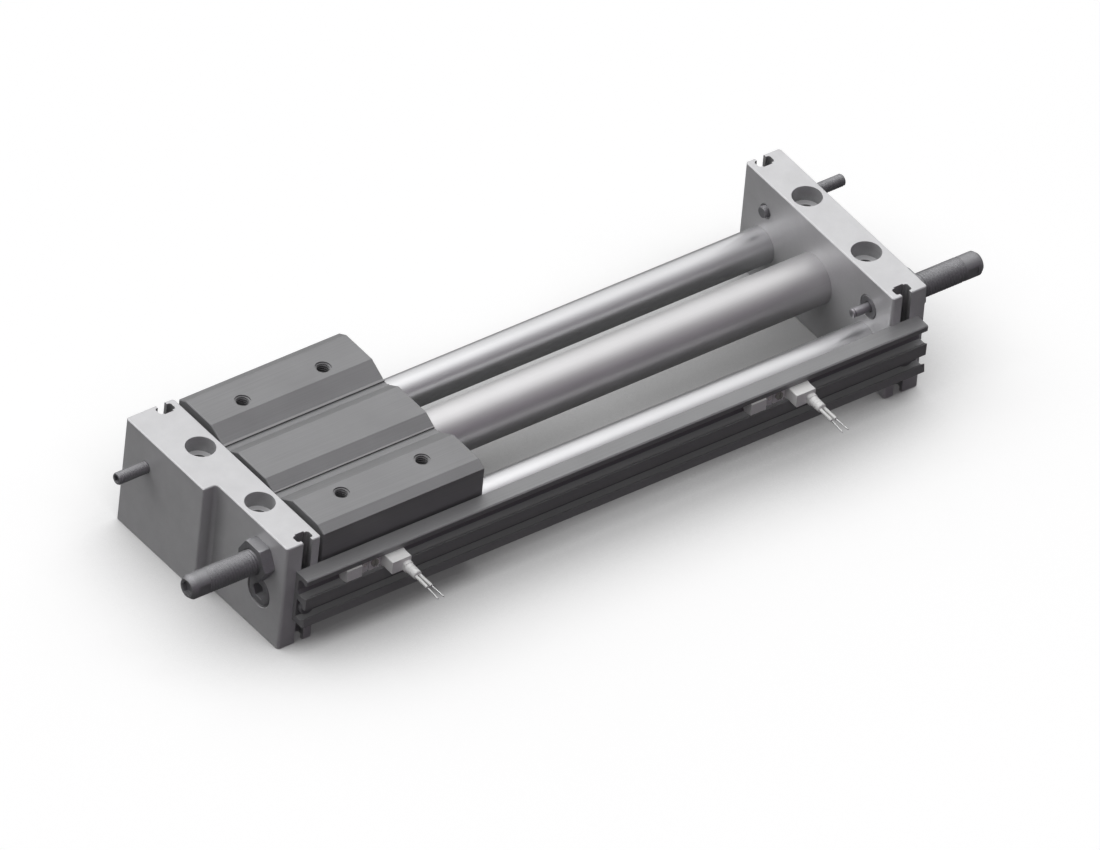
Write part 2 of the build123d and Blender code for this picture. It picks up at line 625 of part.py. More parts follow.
def inner_yokes():
    """Iron discs on the piston shaft, in line with the outer ones."""
    outer = TUBE_BORE - 2 * INNER_YOKE_GAP
    inner = PISTON_SHAFT + 2 * SEAT_CLEARANCE
    return stack_rings(outer, inner, 0, YOKE_LENGTH, MAGNET_COUNT + 1)


def inner_magnets():
    """Ring magnets on the piston shaft."""
    outer = TUBE_BORE - 2 * INNER_MAGNET_GAP
    inner = PISTON_SHAFT + 2 * SEAT_CLEARANCE
    return stack_rings(outer, inner, YOKE_LENGTH, MAGNET_LENGTH, MAGNET_COUNT)


def outer_ends():
    """X spans between the magnet stack and each retaining ring."""
    left_ring, right_ring = ring_starts()
    half = STACK_LENGTH / 2
    return ((left_ring + RING_LENGTH, BLOCK_MIDDLE - half), (BLOCK_MIDDLE + half, right_ring))


def slide_ring_spans():
    """X spans of the wear rings, each in the middle of its end spacer."""
    spans = []
    for x0, x1 in outer_ends():
        middle = (x0 + x1) / 2
        spans.append((middle - SLIDE_RING_LENGTH / 2, middle + SLIDE_RING_LENGTH / 2))
    return spans


def end_spacers():
    """Spacers that lock the magnet stack against the retaining rings and hold the wear rings."""
    spacers = []
    for (x0, x1), (w0, w1) in zip(outer_ends(), slide_ring_spans()):
        spacer = ring_x(OUTER_STACK_DIAMETER, OUTER_STACK_BORE, x0, x1, 0, TUBE_HEIGHT)
        pocket = Circle(slide_ring_diameter() / 2 + SEAT_CLEARANCE)
        spacers.append(spacer - along_x(pocket, w0 - SEAT_CLEARANCE, w1 + SEAT_CLEARANCE, 0, TUBE_HEIGHT))
    return spacers


def slide_ring_diameter():
    """Outside diameter of the wear rings that slide on the tube."""
    return TUBE_DIAMETER + 2 * RUNNING_CLEARANCE + 2 * SLIDE_RING_WALL


def slide_rings():
    """Wear rings between the slide block and the outside of the tube."""
    inner = TUBE_DIAMETER + 2 * RUNNING_CLEARANCE
    return [ring_x(slide_ring_diameter(), inner, x0, x1, 0, TUBE_HEIGHT) for x0, x1 in slide_ring_spans()]


def scrapers():
    """Dirt scrapers at both mouths of the coupling's bore."""
    inner = TUBE_DIAMETER + 2 * SLIP_CLEARANCE
    starts = (BLOCK_START, BLOCK_END - SCRAPER_LENGTH)
    return [ring_x(OUTER_STACK_DIAMETER, inner, x0, x0 + SCRAPER_LENGTH, 0, TUBE_HEIGHT) for x0 in starts]


def retaining_rings():
    """Snap rings in their grooves, each with the gap that lets it be closed."""
    rings = []
    outer = OUTER_STACK_DIAMETER + 2 * RING_DEPTH
    for x0 in ring_starts():
        ring = ring_x(outer, OUTER_STACK_BORE + 2 * RING_DEPTH, x0, x0 + RING_LENGTH, 0, TUBE_HEIGHT)
        gap = cuboid(x0, x0 + RING_LENGTH, -RING_LENGTH, RING_LENGTH, TUBE_HEIGHT, TUBE_HEIGHT + outer)
        rings.append(ring - gap)
    return rings


def piston_shaft():
    """The shaft that carries the inner magnets and both pistons."""
    half = STACK_LENGTH / 2 + PISTON_LENGTH + PISTON_NUT_LENGTH
    return along_x(Circle(PISTON_SHAFT / 2), BLOCK_MIDDLE - half, BLOCK_MIDDLE + half, 0, TUBE_HEIGHT)


def outward(sign, distance):
    """X of a point a distance outwards from the inner end of the left (-1) or right (+1) piston."""
    return BLOCK_MIDDLE + sign * (STACK_LENGTH / 2 + distance)


def groove_x(diameter, depth, sign, start, width):
    """A ring cut from the outside of a piston."""
    x0 = outward(sign, start)
    x1 = outward(sign, start + width)
    return ring_x(diameter + depth, diameter - 2 * depth, x0, x1, 0, TUBE_HEIGHT)


def pistons():
    """One piston at each end of the inner magnets, grooved for its seal and its wear ring."""
    parts = []
    diameter = TUBE_BORE - 2 * PISTON_GAP
    for sign in (-1, 1):
        piston = ring_x(diameter, PISTON_SHAFT + 2 * SEAT_CLEARANCE, outward(sign, 0),
                        outward(sign, PISTON_LENGTH), 0, TUBE_HEIGHT)
        piston -= groove_x(TUBE_BORE, SEAL_DEPTH, sign, PISTON_LENGTH - SEAL_OFFSET - SEAL_WIDTH, SEAL_WIDTH)
        guide_start = PISTON_LENGTH - GUIDE_RING_OFFSET - GUIDE_RING_WIDTH
        piston -= groove_x(TUBE_BORE, GUIDE_RING_DEPTH, sign, guide_start, GUIDE_RING_WIDTH)
        recess = Circle(BUMPER_DIAMETER / 2 + SEAT_CLEARANCE) - Circle(BUMPER_BORE / 2 - SEAT_CLEARANCE)
        piston -= along_x(recess, outward(sign, PISTON_LENGTH - PISTON_RECESS),
                          outward(sign, PISTON_LENGTH), 0, TUBE_HEIGHT)
        parts.append(piston)
    return parts


def piston_seals():
    """Lip seals in the pistons."""
    outer = TUBE_BORE - 2 * RUNNING_CLEARANCE
    inner = TUBE_BORE - 2 * SEAL_DEPTH + 2 * SEAT_CLEARANCE
    start = PISTON_LENGTH - SEAL_OFFSET - SEAL_WIDTH
    return [ring_x(outer, inner, outward(sign, start + SEAT_CLEARANCE),
                   outward(sign, start + SEAL_WIDTH - SEAT_CLEARANCE), 0, TUBE_HEIGHT) for sign in (-1, 1)]


def piston_guide_rings():
    """Wear rings that carry the pistons on the tube's bore."""
    outer = TUBE_BORE - 2 * RUNNING_CLEARANCE
    inner = TUBE_BORE - 2 * GUIDE_RING_DEPTH + 2 * SEAT_CLEARANCE
    start = PISTON_LENGTH - GUIDE_RING_OFFSET - GUIDE_RING_WIDTH
    return [ring_x(outer, inner, outward(sign, start + SEAT_CLEARANCE),
                   outward(sign, start + GUIDE_RING_WIDTH - SEAT_CLEARANCE), 0, TUBE_HEIGHT)
            for sign in (-1, 1)]


def piston_nuts():
    """Nuts that clamp pistons and magnets on the shaft."""
    nuts = []
    bore = Circle(PISTON_SHAFT / 2 + SEAT_CLEARANCE)
    for sign in (-1, 1):
        nuts.append(along_x(hexagon(PISTON_NUT_ACROSS_FLATS) - bore, outward(sign, PISTON_LENGTH),
                            outward(sign, PISTON_LENGTH + PISTON_NUT_LENGTH), 0, TUBE_HEIGHT))
    return nuts


def piston_bumpers():
    """Rubber rings on the piston ends that meet the end plates' sockets."""
    bumpers = []
    for sign in (-1, 1):
        start = PISTON_LENGTH - PISTON_RECESS
        bumpers.append(ring_x(BUMPER_DIAMETER, BUMPER_BORE, outward(sign, start + SEAT_CLEARANCE),
                              outward(sign, start + BUMPER_LENGTH), 0, TUBE_HEIGHT))
    return bumpers


def shock_body(side):
    """Threaded shock absorber body, flush with the plate's inner face, with flats and a socket."""
    tail = at_depth(side, SHOCK_LENGTH)
    body = along_x(Circle(SHOCK_DIAMETER / 2), at_depth(side, 0), tail, -SHAFT_Y, STOP_HEIGHT)
    body = chamfer(body.edges().filter_by(GeomType.CIRCLE), SHOCK_CHAMFER)
    flat_start = at_depth(side, SHOCK_LENGTH - SHOCK_FLATS_START)
    flat_end = at_depth(side, SHOCK_LENGTH - SHOCK_FLATS_START - SHOCK_FLATS_LENGTH)
    for sign in (-1, 1):
        inner_y = -SHAFT_Y + sign * SHOCK_FLATS / 2
        outer_y = -SHAFT_Y + sign * SHOCK_DIAMETER
        body -= cuboid(flat_start, flat_end, inner_y, outer_y,
                       STOP_HEIGHT - SHOCK_DIAMETER, STOP_HEIGHT + SHOCK_DIAMETER)
    socket = hexagon(SHOCK_SOCKET)
    body -= along_x(socket, tail, at_depth(side, SHOCK_LENGTH - SHOCK_SOCKET_DEPTH), -SHAFT_Y, STOP_HEIGHT)
    mouth = Circle(SHOCK_MOUTH / 2)
    body -= along_x(mouth, at_depth(side, 0), at_depth(side, SHOCK_MOUTH_DEPTH), -SHAFT_Y, STOP_HEIGHT)
    bore = Circle(SHOCK_ROD / 2 + RUNNING_CLEARANCE)
    bore_end = SHOCK_ROD_LENGTH + TOUCH_GAP - STOP_GAP
    return body - along_x(bore, at_depth(side, 0), at_depth(side, bore_end), -SHAFT_Y, STOP_HEIGHT)


def shock_rod(side, travel):
    """Rod with its striking cap; travel is how far it stands out beyond its pressed-in place."""
    tip = at_depth(side, -STOP_GAP - travel + TOUCH_GAP)
    cap_end = at_depth(side, -STOP_GAP - travel + TOUCH_GAP + SHOCK_ROD_CAP_LENGTH)
    end = at_depth(side, SHOCK_ROD_LENGTH - STOP_GAP - travel)
    cap = along_x(Circle(SHOCK_ROD_CAP / 2), tip, cap_end, -SHAFT_Y, STOP_HEIGHT)
    cap = chamfer(end_edges(cap, Axis.X, side == "a"), SEAT_CLEARANCE * 10)
    return cap + along_x(Circle(SHOCK_ROD / 2), cap_end, end, -SHAFT_Y, STOP_HEIGHT)


def shock_nuts():
    """Thin lock nuts on the outer faces of the plates, corners pointing across the plate."""
    nuts = []
    bore = Circle(SHOCK_DIAMETER / 2 + SEAT_CLEARANCE)
    corner = SHOCK_NUT_ACROSS_FLATS / sqrt(3)
    for side in ("a", "b"):
        start = at_depth(side, PLATE_THICKNESS)
        end = at_depth(side, PLATE_THICKNESS + SHOCK_NUT_LENGTH)
        nut = along_x(hexagon(SHOCK_NUT_ACROSS_FLATS), start, end, -SHAFT_Y, STOP_HEIGHT)
        round_blank = along_x(Circle(corner), start, end, -SHAFT_Y, STOP_HEIGHT)
        round_blank = chamfer(round_blank.edges().filter_by(GeomType.CIRCLE), SHOCK_NUT_CHAMFER)
        nut = nut & round_blank
        nuts.append(nut - along_x(bore, start, end, -SHAFT_Y, STOP_HEIGHT))
    return nuts


def stop_screw(side):
    """Socket set screw whose tip the slide block meets at the end of its travel."""
    tip = at_depth(side, TOUCH_GAP - STOP_GAP)
    tail = at_depth(side, TOUCH_GAP - STOP_GAP + STOP_SCREW_LENGTH)
    screw = screw_thread_end(STOP_SCREW, tip, tail, SHAFT_Y, STOP_HEIGHT, STOP_SCREW_CHAMFER)
    floor = at_depth(side, TOUCH_GAP - STOP_GAP + STOP_SCREW_LENGTH - STOP_SCREW_SOCKET_DEPTH)
    return screw - along_x(hexagon(STOP_SCREW_SOCKET), tail, floor, SHAFT_Y, STOP_HEIGHT)


def rail_section():
    """The sensor rail's section: an upper slot for the switches and a lower one for the screws."""
    back = NEAR_FACE
    front = NEAR_FACE - RAIL_DEPTH
    rib_front = front + RIB_SET_BACK
    wall = back - RAIL_WALL
    lip = front + RAIL_LIP
    middle = (wall + lip) / 2
    roof = SENSOR_SLOT_TOP
    outline = [
        (back, RAIL_TOP),
        (front + RAIL_EDGE, RAIL_TOP),
        (front + RAIL_EDGE / 3, RAIL_TOP - RAIL_EDGE / 2),
        (front + RAIL_EDGE / 2, SENSOR_MOUTH_TOP + RAIL_EDGE / 2),
        (lip, SENSOR_MOUTH_TOP),
        (lip + RAIL_EDGE, roof - RAIL_EDGE / 3),
        (middle, roof),
        (wall - RAIL_EDGE, roof - RAIL_EDGE / 2),
        (wall, SENSOR_MOUTH_TOP),
        (wall, SENSOR_MOUTH_BOTTOM + RAIL_EDGE),
        (wall - RAIL_EDGE, SENSOR_SLOT_BOTTOM),
        (lip, SENSOR_SLOT_BOTTOM),
        (front, SENSOR_MOUTH_BOTTOM),
        (rib_front, SCREW_MOUTH_TOP + RAIL_EDGE / 2),
        (lip, SCREW_MOUTH_TOP),
        (lip + RAIL_EDGE, SCREW_SLOT_TOP - RAIL_EDGE / 2),
        (wall, SCREW_SLOT_TOP),
        (wall, SCREW_SLOT_BOTTOM),
        (lip + RAIL_EDGE, SCREW_SLOT_BOTTOM),
        (front + RAIL_EDGE / 2, SCREW_MOUTH_BOTTOM),
        (front, RAIL_BOTTOM + RAIL_EDGE),
        (front + RAIL_EDGE, RAIL_BOTTOM),
        (back, RAIL_BOTTOM),
    ]
    return make_face(Polyline(*outline, close=True))


def rail_screw_positions():
    """X of the rail's screws, in line with the plates' T-slots."""
    return (at_depth("a", TSLOT_OFFSET), at_depth("b", TSLOT_OFFSET))


def switch_rail():
    """The aluminium rail along the near faces of both plates."""
    rail = along_x(rail_section(), at_depth("a", RAIL_OVERLAP_A), at_depth("b", RAIL_OVERLAP_B))
    hole = Circle(RAIL_SCREW / 2 + SLIP_CLEARANCE)
    for x in rail_screw_positions():
        rail -= along_y(hole, NEAR_FACE - RAIL_WALL, NEAR_FACE, x, RAIL_SCREW_HEIGHT)
    return rail


def rail_screws():
    """Low-head screws in the lower slot that reach the T-slot nuts."""
    screws = []
    seat = NEAR_FACE - RAIL_WALL
    front = seat - RAIL_SCREW_HEAD_HEIGHT
    tip = NEAR_FACE + TSLOT_LIP + TSLOT_DEPTH
    for x in rail_screw_positions():
        head = along_y(Circle(RAIL_SCREW_HEAD / 2), front, seat, x, RAIL_SCREW_HEIGHT)
        head = chamfer(end_edges(head, Axis.Y, False), SLIP_CLEARANCE * 3)
        shank = along_y(Circle(RAIL_SCREW / 2), seat, tip, x, RAIL_SCREW_HEIGHT)
        socket = along_y(hexagon(RAIL_SCREW_SOCKET), front, front + RAIL_SCREW_SOCKET_DEPTH,
                         x, RAIL_SCREW_HEIGHT)
        screws.append(head + shank - socket)
    return screws


def rail_nuts():
    """Sliding nuts in the near T-slots."""
    nuts = []
    y0 = NEAR_FACE + TSLOT_LIP
    y1 = y0 + TSLOT_DEPTH - RAIL_NUT_CLEARANCE
    half = TSLOT_WIDTH / 2 - RAIL_NUT_CLEARANCE
    for x in rail_screw_positions():
        nut = cuboid(x - half, x + half, y0, y1, RAIL_SCREW_HEIGHT - RAIL_NUT_LENGTH / 2,
                     RAIL_SCREW_HEIGHT + RAIL_NUT_LENGTH / 2)
        nut = chamfer(nut.edges().filter_by(Axis.Z), TSLOT_CORNER)
        bore = Circle(RAIL_SCREW / 2 + SEAT_CLEARANCE)
        nuts.append(nut - along_y(bore, y0, y1, x, RAIL_SCREW_HEIGHT))
    return nuts


def switch_section():
    """Section of a switch where it lies in the rail: a wide back held behind the slot's lips."""
    gap = SWITCH_CLEARANCE
    front = NEAR_FACE - RAIL_DEPTH + gap
    back = NEAR_FACE - RAIL_WALL - gap
    lip = NEAR_FACE - RAIL_DEPTH + RAIL_LIP
    low = SENSOR_MOUTH_BOTTOM + gap
    high = SENSOR_MOUTH_TOP - gap
    outline = [
        (front, low),
        (front, high),
        (lip, high),
        (lip + RAIL_EDGE, SENSOR_SLOT_TOP - RAIL_EDGE / 3 - 2 * gap),
        (back - RAIL_EDGE, SENSOR_SLOT_TOP - RAIL_EDGE / 2 - 2 * gap),
        (back, high - gap),
        (back, low + RAIL_EDGE),
        (back - RAIL_EDGE, SENSOR_SLOT_BOTTOM + gap),
        (lip + RAIL_EDGE, SENSOR_SLOT_BOTTOM + gap),
    ]
    return make_face(Polyline(*outline, close=True))


def switch_start(index):
    """X of the tail end of the left (0) or right (1) switch."""
    return LEFT_FACE + SWITCH_START + index * SWITCH_PITCH


def switch_recess_face():
    """Y of the sunk face between a switch's tail and head."""
    return NEAR_FACE - RAIL_DEPTH + SWITCH_CLEARANCE + SWITCH_RECESS_DEPTH


def switch_head_face():
    """Y of the front of a switch's head."""
    return NEAR_FACE - RAIL_DEPTH - SWITCH_CLEARANCE * 2 - SWITCH_HEAD_DEPTH


def lead_x(index):
    """X of the axis of a switch's lead."""
    return switch_start(index) + SWITCH_TAIL + SWITCH_RECESS + SWITCH_HEAD - LEAD_INSET


def switch_body(index):
    """Moulded switch: tail, grooved sunk face and a head that stands out of the rail with a lead collar."""
    x0 = switch_start(index)
    x1 = x0 + SWITCH_TAIL
    x2 = x1 + SWITCH_RECESS
    x3 = x2 + SWITCH_HEAD
    body = along_x(switch_section(), x0, x3)
    sunk = switch_recess_face()
    body -= cuboid(x1, x2, NEAR_FACE - 2 * RAIL_DEPTH, sunk, RAIL_BOTTOM, RAIL_TOP)
    for start, end in SWITCH_GROOVES:
        body -= cuboid(x1 + start * SWITCH_RECESS, x1 + end * SWITCH_RECESS,
                       sunk, sunk + SWITCH_GROOVE_DEPTH, RAIL_BOTTOM, RAIL_TOP)
    head_back = NEAR_FACE - RAIL_DEPTH - SWITCH_CLEARANCE
    neck_low = SENSOR_MOUTH_BOTTOM + SWITCH_CLEARANCE
    neck_high = SENSOR_MOUTH_TOP - SWITCH_CLEARANCE
    neck = cuboid(x2, x3, head_back, head_back + 2 * SWITCH_CLEARANCE, neck_low, neck_high)
    head = cuboid(x2, x3, switch_head_face(), head_back, SWITCH_HEAD_BOTTOM, SWITCH_HEAD_TOP)
    head = chamfer(head.edges().filter_by(Axis.Y), SWITCH_EDGE)
    collar = RectangleRounded(COLLAR_WIDTH, COLLAR_HEIGHT, COLLAR_EDGE)
    collar_end = switch_head_face() - COLLAR_LENGTH
    collar = along_y(collar, collar_end, switch_head_face(), lead_x(index), LEAD_HEIGHT)
    body += neck
    body += head
    body += collar
    screw_x, lens_x = switch_detail_x(index)
    middle = (SENSOR_MOUTH_BOTTOM + SENSOR_MOUTH_TOP) / 2
    shank = Circle(SWITCH_SCREW_SHANK / 2 + SEAT_CLEARANCE)
    body -= along_y(shank, sunk, NEAR_FACE, screw_x, middle)
    lens = Circle(INDICATOR_DIAMETER / 2 + SEAT_CLEARANCE)
    return body - along_y(lens, sunk, sunk + INDICATOR_HEIGHT, lens_x, middle)


def switch_detail_x(index):
    """X of the clamp screw and of the indicator in a switch's sunk face."""
    x1 = switch_start(index) + SWITCH_TAIL
    return (x1 + SWITCH_RECESS * SWITCH_SCREW_PLACE, x1 + SWITCH_RECESS * INDICATOR_PLACE)


def switch_screw(index):
    """Slotted screw that presses against the rail and holds the switch in place."""
    screw_x = switch_detail_x(index)[0]
    middle = (SENSOR_MOUTH_BOTTOM + SENSOR_MOUTH_TOP) / 2
    seat = switch_recess_face()
    front = seat - SWITCH_SCREW_HEAD_HEIGHT
    tip = NEAR_FACE - RAIL_WALL - SEAT_CLEARANCE
    screw = along_y(Circle(SWITCH_SCREW / 2), front, seat, screw_x, middle)
    screw += along_y(Circle(SWITCH_SCREW_SHANK / 2), seat, tip, screw_x, middle)
    slot = Rectangle(SWITCH_SLOT_WIDTH, SWITCH_SCREW * 2)
    return screw - along_y(slot, front, front + SWITCH_SLOT_DEPTH, screw_x, middle)


def switch_indicator(index):
    """Indicator light in the sunk face."""
    lens_x = switch_detail_x(index)[1]
    middle = (SENSOR_MOUTH_BOTTOM + SENSOR_MOUTH_TOP) / 2
    sunk = switch_recess_face()
    lens = along_y(Circle(INDICATOR_DIAMETER / 2), sunk - INDICATOR_HEIGHT / 2,
                   sunk + INDICATOR_HEIGHT - SEAT_CLEARANCE, lens_x, middle)
    return chamfer(end_edges(lens, Axis.Y, False), INDICATOR_HEIGHT / 3)


def boot_start():
    """Y where the strain relief meets the collar."""
    return switch_head_face() - COLLAR_LENGTH


def switch_boot(index):
    """Round strain relief on the collar."""
    start = boot_start()
    boot = along_y(Circle(BOOT_DIAMETER / 2), start - BOOT_LENGTH, start, lead_x(index), LEAD_HEIGHT)
    return chamfer(end_edges(boot, Axis.Y, False), BOOT_EDGE)


def switch_strands(index, diameter, start, length):
    """Two parallel strands of a lead, side by side."""
    strands = []
    for offset in (-WIRE_PITCH / 2, WIRE_PITCH / 2):
        x = lead_x(index) + offset
        strands.append(along_y(Circle(diameter / 2), start - length, start, x, LEAD_HEIGHT))
    return strands


def save(name, shape):
    """Write one sub-part; a list of separate pieces becomes one group."""
    solid = Compound(children=list(shape)) if isinstance(shape, (list, tuple)) else shape
    export_step(solid, "parts/" + name + ".step")


def save_frame():
    """The fixed frame: plates, tube, shafts, their fasteners and seals, and the sensor rail."""
    save("end_plate_a", end_plate("a"))
    save("end_plate_b", end_plate("b"))
    save("cylinder_tube", cylinder_tube())
    save("guide_shaft_a", guide_shaft_a())
    save("guide_shaft_b", guide_shaft_b())
    save("tube_gaskets", tube_gaskets())
    save("shaft_gaskets", shaft_gaskets())
    save("shaft_screws", shaft_screws())
    save("shaft_set_screws", shaft_set_screws())
    save("passage_plug", passage_plug())
    save("switch_rail", switch_rail())
    save("rail_screws", rail_screws())
    save("rail_nuts", rail_nuts())
    save("shock_nuts", shock_nuts())


def save_stops():
    """Shock absorbers and stop screws; the left rod is held in by the slide block."""
    save("shock_body_left", shock_body("a"))
    save("shock_body_right", shock_body("b"))
    save("shock_rod_left", shock_rod("a", 0))
    save("shock_rod_right", shock_rod("b", SHOCK_STROKE))
    save("stop_screw_left", stop_screw("a"))
    save("stop_screw_right", stop_screw("b"))


def save_carriage():
    """The slide block with its bearings and the outer half of the magnetic coupling."""
    save("slide_block", slide_block())
    save("bushings_near", bushings(-SHAFT_Y))
    save("bushings_far", bushings(SHAFT_Y))
    save("outer_yokes", outer_yokes())
    save("outer_magnets", outer_magnets())
    save("end_spacers", end_spacers())
    save("slide_rings", slide_rings())
    save("scrapers", scrapers())
    save("retaining_rings", retaining_rings())
    save("sense_magnet", sense_magnet_box(0))


def save_piston():
    """The piston assembly inside the tube with the inner half of the coupling."""
    save("piston_shaft", piston_shaft())
    save("inner_yokes", inner_yokes())
    save("inner_magnets", inner_magnets())
    save("pistons", pistons())
    save("piston_seals", piston_seals())
    save("piston_guide_rings", piston_guide_rings())
    save("piston_nuts", piston_nuts())
    save("piston_bumpers", piston_bumpers())


def save_switches():
    """Both switches with their clamp screws, indicators and lead ends."""
    wire_start = boot_start() - BOOT_LENGTH
    for index, side in enumerate(("left", "right")):
        save("switch_body_" + side, switch_body(index))
        save("switch_screw_" + side, switch_screw(index))
        save("switch_indicator_" + side, switch_indicator(index))
        save("switch_boot_" + side, switch_boot(index))
        save("switch_wires_" + side, switch_strands(index, WIRE_DIAMETER, wire_start, WIRE_LENGTH))
        bare_start = wire_start - WIRE_LENGTH
        save("switch_conductors_" + side,
             switch_strands(index, CONDUCTOR_DIAMETER, bare_start, CONDUCTOR_LENGTH))


save_frame()
save_stops()
save_carriage()
save_piston()
save_switches()
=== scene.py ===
"""Looks of a magnetically coupled rodless cylinder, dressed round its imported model.

Sizes in the classes are in millimetres, and places come from the frame's own boxes. Meshes are made in
metres in the part's frame: X along the tube, Y across it and Z up.
"""

import json
import logging
import math
from dataclasses import dataclass
from enum import Enum
from typing import Callable, Iterable, Optional, Sequence, Union

import bmesh
import bpy
import numpy as np
from mathutils import Matrix, Vector


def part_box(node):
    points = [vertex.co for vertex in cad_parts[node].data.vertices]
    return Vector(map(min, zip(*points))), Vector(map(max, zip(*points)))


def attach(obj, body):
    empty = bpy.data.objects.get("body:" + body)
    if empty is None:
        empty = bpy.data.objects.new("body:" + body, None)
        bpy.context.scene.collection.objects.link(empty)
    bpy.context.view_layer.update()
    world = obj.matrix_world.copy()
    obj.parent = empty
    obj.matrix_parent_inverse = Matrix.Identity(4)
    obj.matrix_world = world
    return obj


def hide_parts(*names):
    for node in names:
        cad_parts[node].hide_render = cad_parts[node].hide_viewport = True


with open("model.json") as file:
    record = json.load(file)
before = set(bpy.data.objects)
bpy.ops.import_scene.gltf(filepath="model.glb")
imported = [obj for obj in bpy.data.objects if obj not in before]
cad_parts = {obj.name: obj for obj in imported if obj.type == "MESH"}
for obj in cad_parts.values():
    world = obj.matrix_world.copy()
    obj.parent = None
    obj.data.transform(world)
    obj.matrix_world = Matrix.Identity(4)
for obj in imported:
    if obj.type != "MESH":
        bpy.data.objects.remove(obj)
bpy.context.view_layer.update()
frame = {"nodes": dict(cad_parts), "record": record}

MM = 0.001
WELD = 1e-6  # metres within which points are merged
CLEARANCE = 0.02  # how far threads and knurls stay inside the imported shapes
WHITE = (1.0, 1.0, 1.0)
OUTWARD = {"left": -1, "right": 1}  # which way along X leads out of the part, on either side
Node = bpy.types.Node
NodeSocket = bpy.types.NodeSocket
Inputs = dict[Union[int, str], object]
Radii = Union[float, np.ndarray]
Row = tuple[float, Radii]
Colour = tuple[float, float, float]

log = logging.getLogger("rodless_cylinder")


class Along(Enum):
    """The axis that a piece is turned about or that its lines run along."""

    X = 0
    Y = 1
    Z = 2


@dataclass(frozen=True)
class Box:
    """A node's box at rest, in millimetres."""

    low: np.ndarray
    high: np.ndarray

    @classmethod
    def of(cls, node: str) -> "Box":
        """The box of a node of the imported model, by the node's name."""
        low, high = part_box(node)
        return cls(np.array(low) / MM, np.array(high) / MM)

    @property
    def middle(self) -> np.ndarray:
        """The box's centre."""
        return (self.low + self.high) / 2

    @property
    def size(self) -> np.ndarray:
        """The box's three edge lengths."""
        return self.high - self.low

    def ends(self, outward: int) -> tuple[float, float]:
        """The places of the inner and the outer end along X, if the way out is up (1) or down (-1)."""
        return (self.low[0], self.high[0])[::outward]


def half_boxes(node: str) -> tuple[Box, Box]:
    """Boxes of the two solids of a node that holds one at either end of X.

    Args:
        node: the node's name.

    Returns:
        The box of the solid at the low end and the box of the one at the high end.
    """
    mesh = frame["nodes"][node].data
    points = np.empty(len(mesh.vertices) * 3)
    mesh.vertices.foreach_get("co", points)
    points = points.reshape(-1, 3) / MM
    middle = (points[:, 0].min() + points[:, 0].max()) / 2
    low = points[points[:, 0] < middle]
    high = points[points[:, 0] >= middle]
    return Box(low.min(0), low.max(0)), Box(high.min(0), high.max(0))


def mesh_piece(name: str, patches: Sequence[np.ndarray], sharp: float = 35.0) -> bpy.types.Object:
    """One object out of grids of points, with touching points merged and faces turned outwards.

    Args:
        name: the piece's name.
        patches: grids of points in millimetres, each of shape (rows, columns, 3).
        sharp: edges that turn by more degrees than this stay sharp.

    Returns:
        The new object, at the origin.
    """
    points, faces, first = [], [], 0
    for patch in patches:
        rows, columns = patch.shape[:2]
        index = first + np.arange(rows * columns).reshape(rows, columns)
        quads = np.stack([index[:-1, :-1], index[1:, :-1], index[1:, 1:], index[:-1, 1:]], axis=-1)
        points.append(patch.reshape(-1, 3))
        faces.append(quads.reshape(-1, 4))
        first += rows * columns
    mesh = bpy.data.meshes.new(name)
    mesh.from_pydata((np.concatenate(points) * MM).tolist(), [], np.concatenate(faces).tolist())
    solid = bmesh.new()
    solid.from_mesh(mesh)
    bmesh.ops.remove_doubles(solid, verts=solid.verts, dist=WELD)
    bmesh.ops.dissolve_degenerate(solid, edges=solid.edges, dist=WELD / 10)
    bmesh.ops.recalc_face_normals(solid, faces=solid.faces)
    solid.to_mesh(mesh)
    solid.free()
    mesh.shade_smooth()
    mesh.set_sharp_from_angle(angle=math.radians(sharp))
    piece = bpy.data.objects.new(name, mesh)
    bpy.context.scene.collection.objects.link(piece)
    return piece


